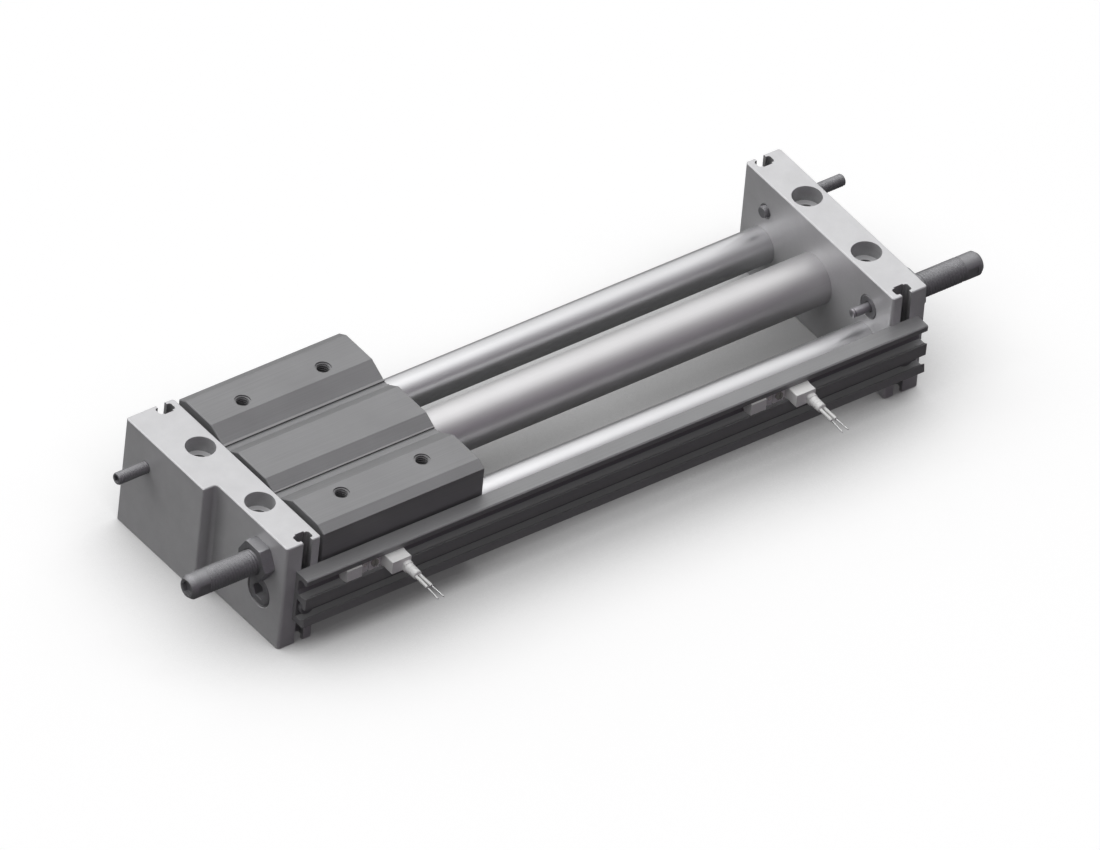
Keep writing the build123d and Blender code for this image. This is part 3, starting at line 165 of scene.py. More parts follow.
class Turned:
    """A shape about an axis, gathered as grids over one shared set of angles.

    A point is centre + radius (cos angle, sin angle) across the axis, at its place along it. The angle
    is measured from the first of the two other axes.
    """

    THREAD_SHARES = (0.0, 0.125, 0.4375, 0.6875, 1.0)

    def __init__(self, along: Along, centre: Sequence[float], columns: int = 96) -> None:
        """An empty shape.

        Args:
            along: the axis it is turned about.
            centre: the two coordinates of the axis, in the order of X, Y and Z.
            columns: steps in one turn, a multiple of 12 so that hexagon corners fall on them.
        """
        self.along = along
        self.centre = centre
        self.columns = columns
        self.angles = np.linspace(0.0, 2 * np.pi, columns + 1)
        self.patches: list[np.ndarray] = []

    def points(self, places: np.ndarray, radii: np.ndarray, angles: np.ndarray) -> np.ndarray:
        """Points from their place along the axis, radius and angle.

        Args:
            places: places along the axis.
            radii: distances from the axis, in the same grid.
            angles: angles round it, in the same grid.

        Returns:
            The grid with the points' X, Y and Z as its last dimension.
        """
        across = [self.centre[0] + radii * np.cos(angles), self.centre[1] + radii * np.sin(angles)]
        across.insert(self.along.value, places)
        return np.stack(across, axis=-1)

    def rows(self, rows: Iterable[Row]) -> "Turned":
        """Joins rows of radii in their order.

        Args:
            rows: pairs of a place along the axis and a radius, or one radius for each angle.

        Returns:
            The shape itself.
        """
        places = [place for place, _ in rows]
        radii = [np.broadcast_to(radius, self.angles.shape) for _, radius in rows]
        grid = np.broadcast_to(np.array(places)[:, None], (len(places), len(self.angles)))
        self.patches.append(self.points(grid, np.array(radii), np.array(radii) * 0 + self.angles))
        return self

    def behind(self, face: float, outward: int, profile: Iterable[Row]) -> "Turned":
        """Joins rows that are given by their depth behind a face.

        Args:
            face: the face's place along the axis.
            outward: 1 if the face looks up the axis, -1 if down.
            profile: pairs of a depth and a radius, or one radius for each angle.

        Returns:
            The shape itself.
        """
        return self.rows([(face - outward * depth, radius) for depth, radius in profile])

    def thread(self, start: float, end: float, crest: float, root: float, pitch: float,
               neck: float) -> "Turned":
        """A screw thread as one strip wound along the axis.

        The strip's cross-section goes over one pitch: crest, flank, root and flank, which end at
        THREAD_SHARES of it. Along the strip the place grows by a pitch each turn. Both ends are cut
        square and eased at 45 degrees to the neck.

        Args:
            start: the place of one end of the thread.
            end: the place of the other end.
            crest: radius of the crests.
            root: radius of the roots, larger than crest in a tapped hole.
            pitch: advance in one turn.
            neck: radius at both ends.

        Returns:
            The shape itself.
        """
        start, end = sorted((start, end))
        turns = math.ceil((end - start) / pitch) + 1
        steps = np.arange(turns * self.columns + 1)
        share = np.array(self.THREAD_SHARES)
        profile = np.array([crest, crest, root, root, crest])
        places = start + pitch * (steps[None, :] / self.columns - 1 + share[:, None])
        places = np.clip(places, start, end)
        ease = np.minimum(places - start, end - places)
        radii = np.broadcast_to(profile[:, None], places.shape)
        radii = np.minimum(radii, neck + ease) if root < crest else np.maximum(radii, neck - ease)
        angles = self.angles[steps % self.columns]
        self.patches.append(self.points(places, radii, np.broadcast_to(angles, places.shape)))
        return self

    def hexagon(self, across_flats: float) -> np.ndarray:
        """Radii of a hexagon with corners on the first axis: half the width over the cosine to its flat."""
        return across_flats / 2 / np.cos(np.mod(self.angles, np.pi / 3) - np.pi / 6)

    def flats(self, radius: float, width: float) -> np.ndarray:
        """Radii of a circle cut off at half the width on either side of the first axis."""
        return np.minimum(radius, width / 2 / np.maximum(np.abs(np.cos(self.angles)), 1e-6))


@dataclass(frozen=True)
class Socket:
    """A hexagon socket with a bevelled rim, flat walls and the point of a drill under them.

    Attributes:
        across_flats: its width.
        depth: depth of its walls.
        rim: how far the rim reaches out past the corners.
        bevel: depth of the rim.
        point: depth of the drill's point.
    """

    across_flats: float
    depth: float
    rim: float
    bevel: float
    point: float

    def rows(self, shape: Turned) -> list[Row]:
        """Its rows for a shape, by their depth behind the face that it opens to."""
        key = shape.hexagon(self.across_flats)
        return [(0.0, key.max() + self.rim), (self.bevel, key), (self.depth, key),
                (self.depth + self.point, 0.0)]


def both_ends(node: str, shape: Callable[[Box, int], Turned]) -> list[np.ndarray]:
    """Grids for the two solids of a node, by a shape that takes a box and which way is outwards."""
    low, high = (shape(box, outward) for box, outward in zip(half_boxes(node), OUTWARD.values()))
    return low.patches + high.patches


def arc_rows(place: float, radius: float, size: float, outward: int, steps: int = 5) -> list[Row]:
    """Rows of a rounded edge that ends a cylinder.

    The place goes as place + outward size (sin t - 1) and the radius as radius - size (1 - cos t), with
    t from nothing to a quarter turn.

    Args:
        place: where the end face lies.
        radius: radius of the cylinder.
        size: radius of the rounding.
        outward: 1 if the face looks up the axis, -1 if down.
        steps: rows in the rounding.

    Returns:
        The rows, from the cylinder to the end face.
    """
    turn = np.linspace(0.0, np.pi / 2, steps)
    return [(place + outward * size * (math.sin(t) - 1), radius - size * (1 - math.cos(t))) for t in turn]


def swept(path: np.ndarray, radius: Radii, columns: int = 16) -> np.ndarray:
    """A closed round tube carried along a path.

    Each point is path(s) + radius(s) (cos t a + sin t b), with a and b square to the path's direction.

    Args:
        path: points of shape (n, 3), in millimetres.
        radius: one radius, or one for each point.
        columns: steps round the tube.

    Returns:
        A grid of shape (n + 2, columns + 1, 3), closed to a point at both ends.
    """
    tangent = np.gradient(path, axis=0)
    tangent /= np.linalg.norm(tangent, axis=1)[:, None]
    up = np.cross(tangent, [0.0, 0.0, 1.0])
    up /= np.linalg.norm(up, axis=1)[:, None]
    side = np.cross(tangent, up)
    angle = np.linspace(0.0, 2 * np.pi, columns + 1)
    size = np.broadcast_to(radius, len(path))[:, None, None]
    wall = path[:, None] + size * (np.cos(angle)[None, :, None] * up[:, None]
                                   + np.sin(angle)[None, :, None] * side[:, None])
    first = np.broadcast_to(path[0], wall[:1].shape)
    last = np.broadcast_to(path[-1], wall[:1].shape)
    return np.concatenate([first, wall, last])


class NodeKit:
    """A short way to add and join nodes in one node tree."""

    def __init__(self, tree: bpy.types.NodeTree) -> None:
        """Takes over the node tree of a material or a world, and empties it."""
        self.tree = tree
        tree.nodes.clear()

    def add(self, kind: str, inputs: Optional[Inputs] = None, **settings: object) -> Node:
        """A new node with some of its inputs and settings changed.

        Args:
            kind: the node's type.
            inputs: as in tune.
            settings: its properties by their names.

        Returns:
            The node.
        """
        node = self.tree.nodes.new(kind)
        for setting, value in settings.items():
            setattr(node, setting, value)
        self.tune(node, inputs or {})
        return node

    def tune(self, node: Node, inputs: Inputs) -> None:
        """Joins or sets inputs of a node.

        Args:
            node: the node.
            inputs: by name or number, the socket that an input is joined to or the value that it gets.
        """
        for name, value in inputs.items():
            if isinstance(value, NodeSocket):
                self.tree.links.new(value, node.inputs[name])
            else:
                node.inputs[name].default_value = value

    def spread(self, value: NodeSocket, low: float, high: float, start: float = 0.0,
               end: float = 1.0) -> NodeSocket:
        """A value between start and end carried over to between low and high."""
        inputs = {"Value": value, "From Min": start, "From Max": end, "To Min": low, "To Max": high}
        return self.add("ShaderNodeMapRange", inputs).outputs["Result"]

    def dot(self, first: NodeSocket, second: Union[NodeSocket, Sequence[float]]) -> NodeSocket:
        """Dot product of two vectors."""
        node = self.add("ShaderNodeVectorMath", {0: first, 1: second}, operation="DOT_PRODUCT")
        return node.outputs["Value"]

    def blend(self, share: NodeSocket, first: Node, second: Node) -> Node:
        """The first shader turning into the second as the share goes from 0 to 1."""
        return self.add("ShaderNodeMixShader", {0: share, 1: first.outputs[0], 2: second.outputs[0]})


class Shader(NodeKit):
    """The nodes of one material: an output, a principled shader and what is joined to them.

    MIDDLE_BAND is where most values of a noise lie. EDGE_TURN are the dot products of true and rounded
    normal right at an edge and on an open face. SKY_SEEN are the shares of its surroundings that a
    deep and an open face see. SQUARE is the cosine of 37 degrees, within which a face counts as square
    to an axis.
    """

    MIDDLE_BAND = (0.3, 0.7)
    EDGE_TURN = (0.8, 0.995)
    SKY_SEEN = (0.25, 0.95)
    SQUARE = 0.8

    def __init__(self, name: str) -> None:
        """A new material.

        Args:
            name: the material's name.
        """
        self.material = bpy.data.materials.new(name)
        self.material.use_nodes = True
        super().__init__(self.material.node_tree)
        self.surface = self.add("ShaderNodeBsdfPrincipled")
        self.output = self.add("ShaderNodeOutputMaterial", {"Surface": self.surface.outputs["BSDF"]})
        self.place = self.add("ShaderNodeTexCoord").outputs["Object"]

    def stretched(self, scale: Sequence[float]) -> NodeSocket:
        """Object coordinates times a scale along X, Y and Z."""
        return self.add("ShaderNodeMapping", {"Vector": self.place, "Scale": scale}).outputs["Vector"]

    def noise(self, vector: NodeSocket, scale: float, detail: float = 3.0,
              roughness: float = 0.55) -> NodeSocket:
        """Soft noise from 0 to 1 with features about 1 / scale metres wide."""
        inputs = {"Vector": vector, "Scale": scale, "Detail": detail, "Roughness": roughness}
        return self.add("ShaderNodeTexNoise", inputs).outputs["Fac"]

    def cells(self, vector: NodeSocket, scale: float) -> NodeSocket:
        """Distance to the nearest of scattered points, about 1 / scale metres apart."""
        return self.add("ShaderNodeTexVoronoi", {"Vector": vector, "Scale": scale}).outputs["Distance"]

    def contrast(self, noise: NodeSocket, low: float = 0.0, high: float = 1.0) -> NodeSocket:
        """Noise whose middle band is carried over to between low and high."""
        return self.spread(noise, low, high, *self.MIDDLE_BAND)

    def math(self, operation: str, first: NodeSocket, second: Union[float, NodeSocket] = 0.0) -> NodeSocket:
        """Arithmetic on one or two values."""
        return self.add("ShaderNodeMath", {0: first, 1: second}, operation=operation).outputs["Value"]

    def mix(self, share: NodeSocket, first: Union[Colour, NodeSocket],
            second: Union[Colour, NodeSocket]) -> NodeSocket:
        """The first colour turning into the second as the share goes from 0 to 1.

        Args:
            share: the share of the second colour.
            first: a colour, or the socket that gives it.
            second: the same for the second colour.

        Returns:
            The mixed colour.
        """
        low, high = (end if isinstance(end, NodeSocket) else (*end, 1.0) for end in (first, second))
        node = self.add("ShaderNodeMix", {"Factor": share, "A": low, "B": high}, data_type="RGBA")
        return node.outputs["Result"]

    def rounded(self, radius: float) -> NodeSocket:
        """Normals rounded over edges, with a radius in millimetres."""
        return self.add("ShaderNodeBevel", {"Radius": radius * MM}, samples=6).outputs["Normal"]

    def edges(self, rounded: NodeSocket) -> NodeSocket:
        """0 on open faces and up to 1 near edges, by how far the rounded normal turns from the true one."""
        normal = self.add("ShaderNodeNewGeometry").outputs["Normal"]
        return self.spread(self.dot(normal, rounded), 1.0, 0.0, *self.EDGE_TURN)

    def recesses(self, reach: float) -> NodeSocket:
        """0 on open faces and up to 1 deep in holes and slots narrower than reach, in millimetres."""
        # This mask serves only the painted shade on the walls of holes and slots.
        node = self.add("ShaderNodeAmbientOcclusion", {"Distance": reach * MM}, samples=4, only_local=True)
        return self.spread(node.outputs["AO"], 1.0, 0.0, *self.SKY_SEEN)

    def facing(self, along: Along) -> NodeSocket:
        """Tells the faces that look along an axis, either way, from the others.

        Args:
            along: the axis.

        Returns:
            1 on those faces and 0 on the others.
        """
        normal = self.add("ShaderNodeTexCoord").outputs["Normal"]
        parts = self.add("ShaderNodeSeparateXYZ", {"Vector": normal})
        return self.math("GREATER_THAN", self.math("ABSOLUTE", parts.outputs[along.value]), self.SQUARE)

    def relief(self, height: NodeSocket, depth: float, base: NodeSocket) -> NodeSocket:
        """The given normals with bumps of a depth in millimetres on top."""
        inputs = {"Strength": 1.0, "Distance": depth * MM, "Height": height, "Normal": base}
        return self.add("ShaderNodeBump", inputs).outputs["Normal"]


def shade(colour: Colour, factor: float) -> Colour:
    """A colour made lighter or darker by a factor."""
    return tuple(min(1.0, channel * factor) for channel in colour)


@dataclass(frozen=True)
class Finish:
    """An even finish. Subclasses change the pattern that its grain follows.

    DARK_GRAIN, BRIGHT_EDGE and PAINTED_WALL_SHADE are the factors by which the colour of the grain's specks,
    of worn edges and of the walls of holes and slots, darkened as painted shade, differs from the open
    face's.

    Attributes:
        name: the material's name.
        colour: linear colour of an open face.
        metallic: 0 for a coating or plastic, 1 for bare metal.
        roughness: middle roughness.
        rough_spread: how far the grain moves the roughness.
        drift: how far the colour wanders over patches of drift_size.
        drift_size: width of those patches in millimetres.
        grain_tone: how far the grain lightens or darkens the colour.
        grain_depth: height of the grain in millimetres.
        edge: radius of worn or broken edges in millimetres.
        wear: how far edges brighten.
        specular: strength of the plain reflection.
        coat: strength of a clear layer.
        painted_wall_shade: how far the walls of holes and slots darken, painted shade standing in for light
            that doesn't reach them.
        painted_shade_reach: width in millimetres of the slots whose walls get that painted shade.
    """

    DARK_GRAIN = 0.4
    BRIGHT_EDGE = 1.6
    PAINTED_WALL_SHADE = 0.25
    COAT_ROUGHNESS = 0.12
    SMOOTHEST = 0.03
    SPECKS_PER_METRE = 5000.0

    name: str
    colour: Colour
    metallic: float = 0.0
    roughness: float = 0.4
    rough_spread: float = 0.08
    drift: float = 0.04
    drift_size: float = 14.0
    grain_tone: float = 0.04
    grain_depth: float = 0.004
    edge: float = 0.2
    wear: float = 0.25
    specular: float = 0.5
    coat: float = 0.0
    painted_wall_shade: float = 0.0
    painted_shade_reach: float = 7.0

    def pattern(self, kit: Shader) -> NodeSocket:
        """The grain, from 0 to 1: here fine even specks of a fifth of a millimetre."""
        return kit.noise(kit.place, self.SPECKS_PER_METRE, 2.0)

    def make(self) -> bpy.types.Material:
        """Builds the material.

        Returns:
            The new material.
        """
        kit = Shader(self.name)
        grain = self.pattern(kit)
        patches = kit.contrast(kit.noise(kit.place, 1.0 / (self.drift_size * MM), 2.0))
        colour = kit.mix(patches, shade(self.colour, 1 - self.drift), shade(self.colour, 1 + self.drift))
        specks = kit.contrast(grain, 0.0, self.grain_tone * 2)
        toned = kit.mix(specks, colour, shade(self.colour, self.DARK_GRAIN))
        rounded = kit.rounded(self.edge)
        worn = kit.math("MULTIPLY", kit.edges(rounded), self.wear)
        surface = kit.mix(worn, toned, shade(self.colour, self.BRIGHT_EDGE))
        # Painted shade: walls of holes and slots darken by how little of the part's open surroundings they
        # see; up-facing faces are left out.
        if self.painted_wall_shade:
            shaded_walls = kit.math("SUBTRACT", kit.recesses(self.painted_shade_reach), kit.facing(Along.Z))
            share = kit.math("MULTIPLY", kit.spread(shaded_walls, 0.0, 1.0), self.painted_wall_shade)
            surface = kit.mix(share, surface, shade(self.colour, self.PAINTED_WALL_SHADE))
        smoothest = max(self.SMOOTHEST, self.roughness - self.rough_spread)
        rough = kit.contrast(grain, smoothest, self.roughness + self.rough_spread)
        kit.tune(kit.surface, {
            "Base Color": surface,
            "Roughness": rough,
            "Normal": kit.relief(grain, self.grain_depth, rounded),
            "Metallic": self.metallic,
            "Specular IOR Level": self.specular,
            "Coat Weight": self.coat,
            "Coat Roughness": self.COAT_ROUGHNESS,
        })
        return kit.material


@dataclass(frozen=True)
class Blasted(Finish):
    """Bead-blasted and anodised: two sizes of soft pits, given in pits per metre."""

    wide_pits: float = 3300.0
    fine_pits: float = 9000.0

    def pattern(self, kit: Shader) -> NodeSocket:
        """Half the sum of both noises: pits of 0.3 mm over pits of 0.1 mm.

        Args:
            kit: the material's nodes.

        Returns:
            The grain.
        """
        coarse = kit.noise(kit.place, self.wide_pits, 3.0)
        fine = kit.noise(kit.place, self.fine_pits, 1.0)
        return kit.math("MULTIPLY", kit.math("ADD", coarse, fine), 0.5)


@dataclass(frozen=True)
class Lined(Finish):
    """Drawn, extruded or brushed: fine lines along one axis, and a sawn grain on the faces square to it."""

    along: Along = Along.X
    line_width: float = 0.25
    line_length: float = 60.0
    saw_length: float = 18.0

    def pattern(self, kit: Shader) -> NodeSocket:
        """Noise stretched along the axis, and short cross lines on the ends.

        Args:
            kit: the material's nodes.

        Returns:
            The grain.
        """
        scale = [1.0 / (self.line_width * MM)] * 3
        across = scale.copy()
        scale[self.along.value] = 1.0 / (self.line_length * MM)
        across[(self.along.value + 1) % 3] = 1.0 / (self.saw_length * MM)
        lines = kit.noise(kit.stretched(scale), 1.0, 3.0, 0.6)
        sawn = kit.noise(kit.stretched(across), 1.0, 2.0)
        inputs = {"Factor": kit.facing(self.along), "A": lines, "B": sawn}
        return kit.add("ShaderNodeMix", inputs, data_type="FLOAT").outputs["Result"]


@dataclass(frozen=True)
class Ground(Finish):
    """Ground round an axis: rings finer than a tenth of a millimetre, broken into short arcs.

    Rings and streaks are given per metre along the axis and across it.
    """

    along: Along = Along.X
    rings: tuple[float, float] = (9000.0, 260.0)
    streaks: tuple[float, float] = (18.0, 2600.0)

    def pattern(self, kit: Shader) -> NodeSocket:
        """Half the sum of noise squeezed along the axis and of long streaks from running.

        Args:
            kit: the material's nodes.

        Returns:
            The grain.
        """
        noises = []
        for along, across in (self.rings, self.streaks):
            scale = [across] * 3
            scale[self.along.value] = along
            noises.append(kit.noise(kit.stretched(scale), 1.0, 2.0))
        return kit.math("MULTIPLY", kit.math("ADD", *noises), 0.5)


@dataclass(frozen=True)
class Plated(Finish):
    """Electroplated steel: a fine crystal spangle over soft clouds, both given per metre."""

    crystals: float = 2800.0
    clouds: float = 650.0

    def pattern(self, kit: Shader) -> NodeSocket:
        """Half the sum of cells of 0.35 mm and clouds of 1.5 mm.

        Args:
            kit: the material's nodes.

        Returns:
            The grain.
        """
        spangle = kit.spread(kit.cells(kit.place, self.crystals), 0.0, 1.0, 0.0, 0.8)
        clouds = kit.noise(kit.place, self.clouds, 4.0)
        return kit.math("MULTIPLY", kit.math("ADD", spangle, clouds), 0.5)


@dataclass(frozen=True)
class Sintered(Finish):
    """Pressed and sintered metal: open pores between grains, given in grains per metre."""

    grains: float = 4200.0

    def pattern(self, kit: Shader) -> NodeSocket:
        """Grains of a quarter of a millimetre."""
        return kit.spread(kit.cells(kit.place, self.grains), 0.0, 1.0, 0.05, 0.6)


@dataclass(frozen=True)
class Moulded(Finish):
    """Moulded plastic or rubber with the mould's spark-eroded texture."""

    texture: float = 6500.0

    def pattern(self, kit: Shader) -> NodeSocket:
        """Even specks of the mould's texture."""
        return kit.noise(kit.place, self.texture, 2.0, 0.7)


class Finishes:
    """Every finish on the cylinder, made once and kept by the name of its record slot."""

    def __init__(self) -> None:
        """Builds all the materials."""
        # painted_wall_shade here darkens the walls of holes and slots as painted shade.
        clear = dict(metallic=0.4, roughness=0.42, specular=0.4, painted_wall_shade=0.8)
        grey = dict(metallic=0.35, roughness=0.45, specular=0.35, painted_wall_shade=0.6, grain_depth=0.004,
                    grain_tone=0.05, wear=0.3)
        finishes = (
            Blasted("plate_aluminium", (0.66, 0.66, 0.67), drift=0.035, drift_size=6.0,
                    grain_depth=0.004, grain_tone=0.06, wear=0.35, **clear),
            Lined("block_aluminium", (0.27, 0.27, 0.275), line_width=0.3, **grey),
            Lined("rail_aluminium", (0.28, 0.28, 0.285), line_width=0.25, **grey),
            Ground("spacer_aluminium", (0.6, 0.6, 0.62), metallic=0.8, roughness=0.35),
            Lined("tube_steel", (0.61, 0.605, 0.61), metallic=0.8, roughness=0.43, rough_spread=0.05,
                  line_width=0.2, line_length=90.0, drift=0.02, grain_tone=0.03, grain_depth=0.0008,
                  wear=0.1),
            Ground("shaft_chrome", (0.64, 0.64, 0.65), metallic=0.85, roughness=0.34, rough_spread=0.03,
                   drift=0.015, grain_tone=0.02, grain_depth=0.0002, wear=0.1),
            Plated("zinc_steel", (0.29, 0.29, 0.3), metallic=0.65, roughness=0.46, drift=0.06,
                   grain_tone=0.06, grain_depth=0.002, wear=0.5, edge=0.12),
            Ground("rod_steel", (0.4, 0.39, 0.41), metallic=0.8, roughness=0.36, grain_depth=0.0004),
            Plated("yoke_iron", (0.3, 0.3, 0.31), metallic=0.8, roughness=0.5, grain_depth=0.003),
            Plated("magnet_nickel", (0.52, 0.5, 0.47), metallic=1.0, roughness=0.22, grain_depth=0.001),
            Sintered("bushing_bronze", (0.5, 0.33, 0.16), metallic=0.8, roughness=0.48, drift=0.1,
                     grain_tone=0.18, grain_depth=0.01),
            Moulded("seal_rubber", (0.03, 0.03, 0.032), roughness=0.62, drift=0.12, wear=0.3,
                    specular=0.35),
            Moulded("wear_plastic", (0.55, 0.48, 0.33), roughness=0.5, texture=4200.0, drift=0.06),
            Moulded("switch_plastic", (0.9, 0.9, 0.89), roughness=0.4, drift=0.02, grain_depth=0.003,
                    edge=0.12, wear=0.2, specular=0.5),
            Moulded("wire_plastic", (0.76, 0.76, 0.75), roughness=0.3, texture=3000.0, grain_depth=0.001,
                    drift=0.03),
            Moulded("indicator_plastic", (0.82, 0.8, 0.74), roughness=0.12, grain_depth=0.0003, coat=0.6,
                    texture=1500.0),
            Plated("brass_screw", (0.5, 0.49, 0.46), metallic=0.85, roughness=0.33, edge=0.06, wear=0.5),
            Ground("copper_strands", (0.5, 0.5, 0.5), metallic=0.9, roughness=0.3, along=Along.Y),
        )
        self.by_slot = {finish.name: finish.make() for finish in finishes}

    def dress(self, piece: bpy.types.Object, slot: str) -> None:
        """Gives a piece one finish, on all its material slots.

        Args:
            piece: a new piece or a node's object.
            slot: the finish's name.
        """
        materials = piece.data.materials
        if not materials:
            materials.append(self.by_slot[slot])
        for index in range(len(materials)):
            materials[index] = self.by_slot[slot]


@dataclass
class Assembly:
    """What every sub-assembly shares: the finishes, and how a finished piece joins the part."""

    finishes: Finishes
    body: str = "frame"

    def settle(self, name: str, patches: Sequence[np.ndarray], slot: str, *nodes: str,
               body: Optional[str] = None) -> None:
        """Makes and dresses a piece, lets it ride on its body and puts it in place of its nodes.

        Args:
            name: the piece's name.
            patches: its grids of points in millimetres.
            slot: its finish.
            nodes: nodes that it replaces.
            body: the body it rides on, if it isn't the sub-assembly's own.
        """
        piece = mesh_piece(name, patches)
        self.finishes.dress(piece, slot)
        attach(piece, body or self.body)
        if nodes:
            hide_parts(*nodes)
        log.info("%s: %d faces on %s", piece.name, len(piece.data.polygons), body or self.body)

    def build(self) -> None:
        """Builds and dresses the sub-assembly."""
        raise NotImplementedError


@dataclass
class CarriedOver(Assembly):
    """The nodes whose own mesh is right: they only get their finish."""

    def build(self) -> None:
        """Dresses every node with the finish of its record slot."""
        for row in frame["record"]["subparts"]:
            self.finishes.dress(frame["nodes"][row["node"]], row["material_slot"])
            log.info("%s: %s", row["node"], row["material_slot"])


@dataclass
class TubeAndShafts(Assembly):
    """The drawn tube and the two ground shafts, finely turned with eased ends."""

    ease: float = 0.5
    tube_ease: float = 0.15
    tube_bore: float = 15.0
    air_bore: float = 5.0
    columns: int = 120

    def pipe(self, box: Box, bore: float, ease: float) -> Turned:
        """A round bar or pipe along X that fills a box.

        Args:
            box: the node's box.
            bore: its bore, or nothing for a solid bar.
            ease: size of the rounded outer edges.

        Returns:
            The closed shape.
        """
        radius = box.size[2] / 2
        shape = Turned(Along.X, box.middle[1:], self.columns)
        left = arc_rows(box.low[0], radius, ease, -1)
        right = arc_rows(box.high[0], radius, ease, 1)
        inner = [(box.high[0], bore / 2), (box.low[0], bore / 2)]
        outer = left[::-1] + right
        return shape.rows(inner[1:] + outer + inner)

    def build(self) -> None:
        """Turns the tube, the hollow far shaft and the solid near shaft."""
        bars = (
            ("tube_drawn", "cylinder_tube", "tube_steel", self.tube_bore, self.tube_ease),
            ("guide_shaft_far_ground", "guide_shaft_a", "shaft_chrome", self.air_bore, self.ease),
            ("guide_shaft_near_ground", "guide_shaft_b", "shaft_chrome", 0.0, self.ease),
        )
        for name, node, finish, bore, ease in bars:
            self.settle(name, self.pipe(Box.of(node), bore, ease).patches, finish, node)


@dataclass
class ShockAbsorbers(Assembly):
    """Both shock absorbers: threaded bodies with a plain tail, lock nuts and rods with their caps."""

    pitch: float = 1.0
    thread_depth: float = 0.32
    neck_step: float = 0.08
    neck_length: float = 0.3
    tail: float = 6.9
    tail_step: float = 0.05
    flat_start: float = 2.4
    flat_length: float = 3.9
    across_flats: float = 7.0
    chamfer: float = 0.95
    chamfer_length: float = 1.15
    socket: Socket = Socket(4.0, 1.6, rim=0.12, bevel=0.12, point=0.6)
    mouth: float = 3.6
    mouth_depth: float = 1.2
    nut_across_flats: float = 12.0
    nut_bore: float = 4.02
    nut_bevel: float = 0.3
    nut_rise: float = 0.3
    nut_slope: float = 1.35

    def body_shape(self, box: Box, outward: int) -> Turned:
        """The body from its mouth at the plate's inner face to its socket at the tail.

        Args:
            box: the solid's box.
            outward: 1 for the right one and -1 for the left one.

        Returns:
            The closed shape.
        """
        inner, tail = box.ends(outward)
        radius = box.size[2] / 2 - CLEARANCE
        root = radius - self.thread_depth
        neck = root - self.neck_step
        eased = radius - self.tail_step
        face = eased - self.chamfer
        flat_end = self.flat_start + self.flat_length
        shape = Turned(Along.X, box.middle[1:])
        flats = shape.flats(eased, self.across_flats)
        shape.thread(inner, tail - outward * self.tail, radius, root, self.pitch, neck)
        shape.behind(inner, -outward, [(self.mouth_depth, 0.0), (self.mouth_depth, self.mouth / 2),
                                       (0.0, self.mouth / 2), (0.0, neck)])
        return shape.behind(tail, outward, [
            (self.tail, neck), (self.tail - self.neck_length, eased), (flat_end, eased),
            (flat_end, flats), (self.flat_start, flats), (self.flat_start, eased),
            # The chamfer, with both of its edges eased.
            (self.chamfer_length + 0.1, eased), (self.chamfer_length, eased - 0.04),
            (0.06, face + 0.05), (0.0, face - 0.03),
            *self.socket.rows(shape),
        ])

    def nut_shape(self, box: Box, outward: int) -> Turned:
        """A hexagon nut with both faces cut to a cone: the radius is the lesser of hexagon and cone.

        Args:
            box: the solid's box.
            outward: 1 for the right one and -1 for the left one.

        Returns:
            The closed shape.
        """
        inner, outer = box.ends(outward)
        nut = Turned(Along.X, box.middle[1:])
        hexagon = nut.hexagon(self.nut_across_flats)
        cone = [(rise, np.minimum(hexagon, hexagon.max() - (self.nut_rise - rise) * self.nut_slope))
                for rise in np.linspace(0.0, self.nut_rise, 7)]
        face = [(self.nut_bevel, self.nut_bore), (0.0, self.nut_bore + self.nut_bevel), *cone]
        near = [(inner + outward * depth, radius) for depth, radius in face]
        far = [(outer - outward * depth, radius) for depth, radius in face[::-1]]
        return nut.rows([*near, *far, near[0]])

    def rod_shape(self, box: Box, outward: int) -> Turned:
        """A ground rod whose tip carries a domed striking cap, by depth behind the tip and radius.

        Args:
            box: the solid's box.
            outward: 1 for the right one and -1 for the left one.

        Returns:
            The closed shape.
        """
        length = box.size[0]
        cap = box.size[2] / 2
        rod = cap - 0.1
        groove = cap - 0.4
        dome = [(0.25 * share * share, share * (cap - 0.3)) for share in np.linspace(0, 1, 5)]
        return Turned(Along.X, box.middle[1:], 60).behind(box.ends(outward)[0], -outward, [
            *dome, (0.45, rod), (0.8, rod), (0.85, groove), (1.0, groove), (1.1, rod),
            *arc_rows(length, rod, 0.3, 1), (length, 0.0),
        ])

    def build(self) -> None:
        """Makes bodies, rods and lock nuts."""
        for side, outward in OUTWARD.items():
            node = "shock_body_" + side
            body = self.body_shape(Box.of(node), outward)
            self.settle(node + "_threaded", body.patches, "zinc_steel", node)
            node = "shock_rod_" + side
            rod = self.rod_shape(Box.of(node), outward)
            rides = "frame" if side == "left" else "shock_rod"
            self.settle(node + "_ground", rod.patches, "rod_steel", node, body=rides)
        nuts = both_ends("shock_nuts", self.nut_shape)
        self.settle("shock_lock_nuts", nuts, "zinc_steel", "shock_nuts")


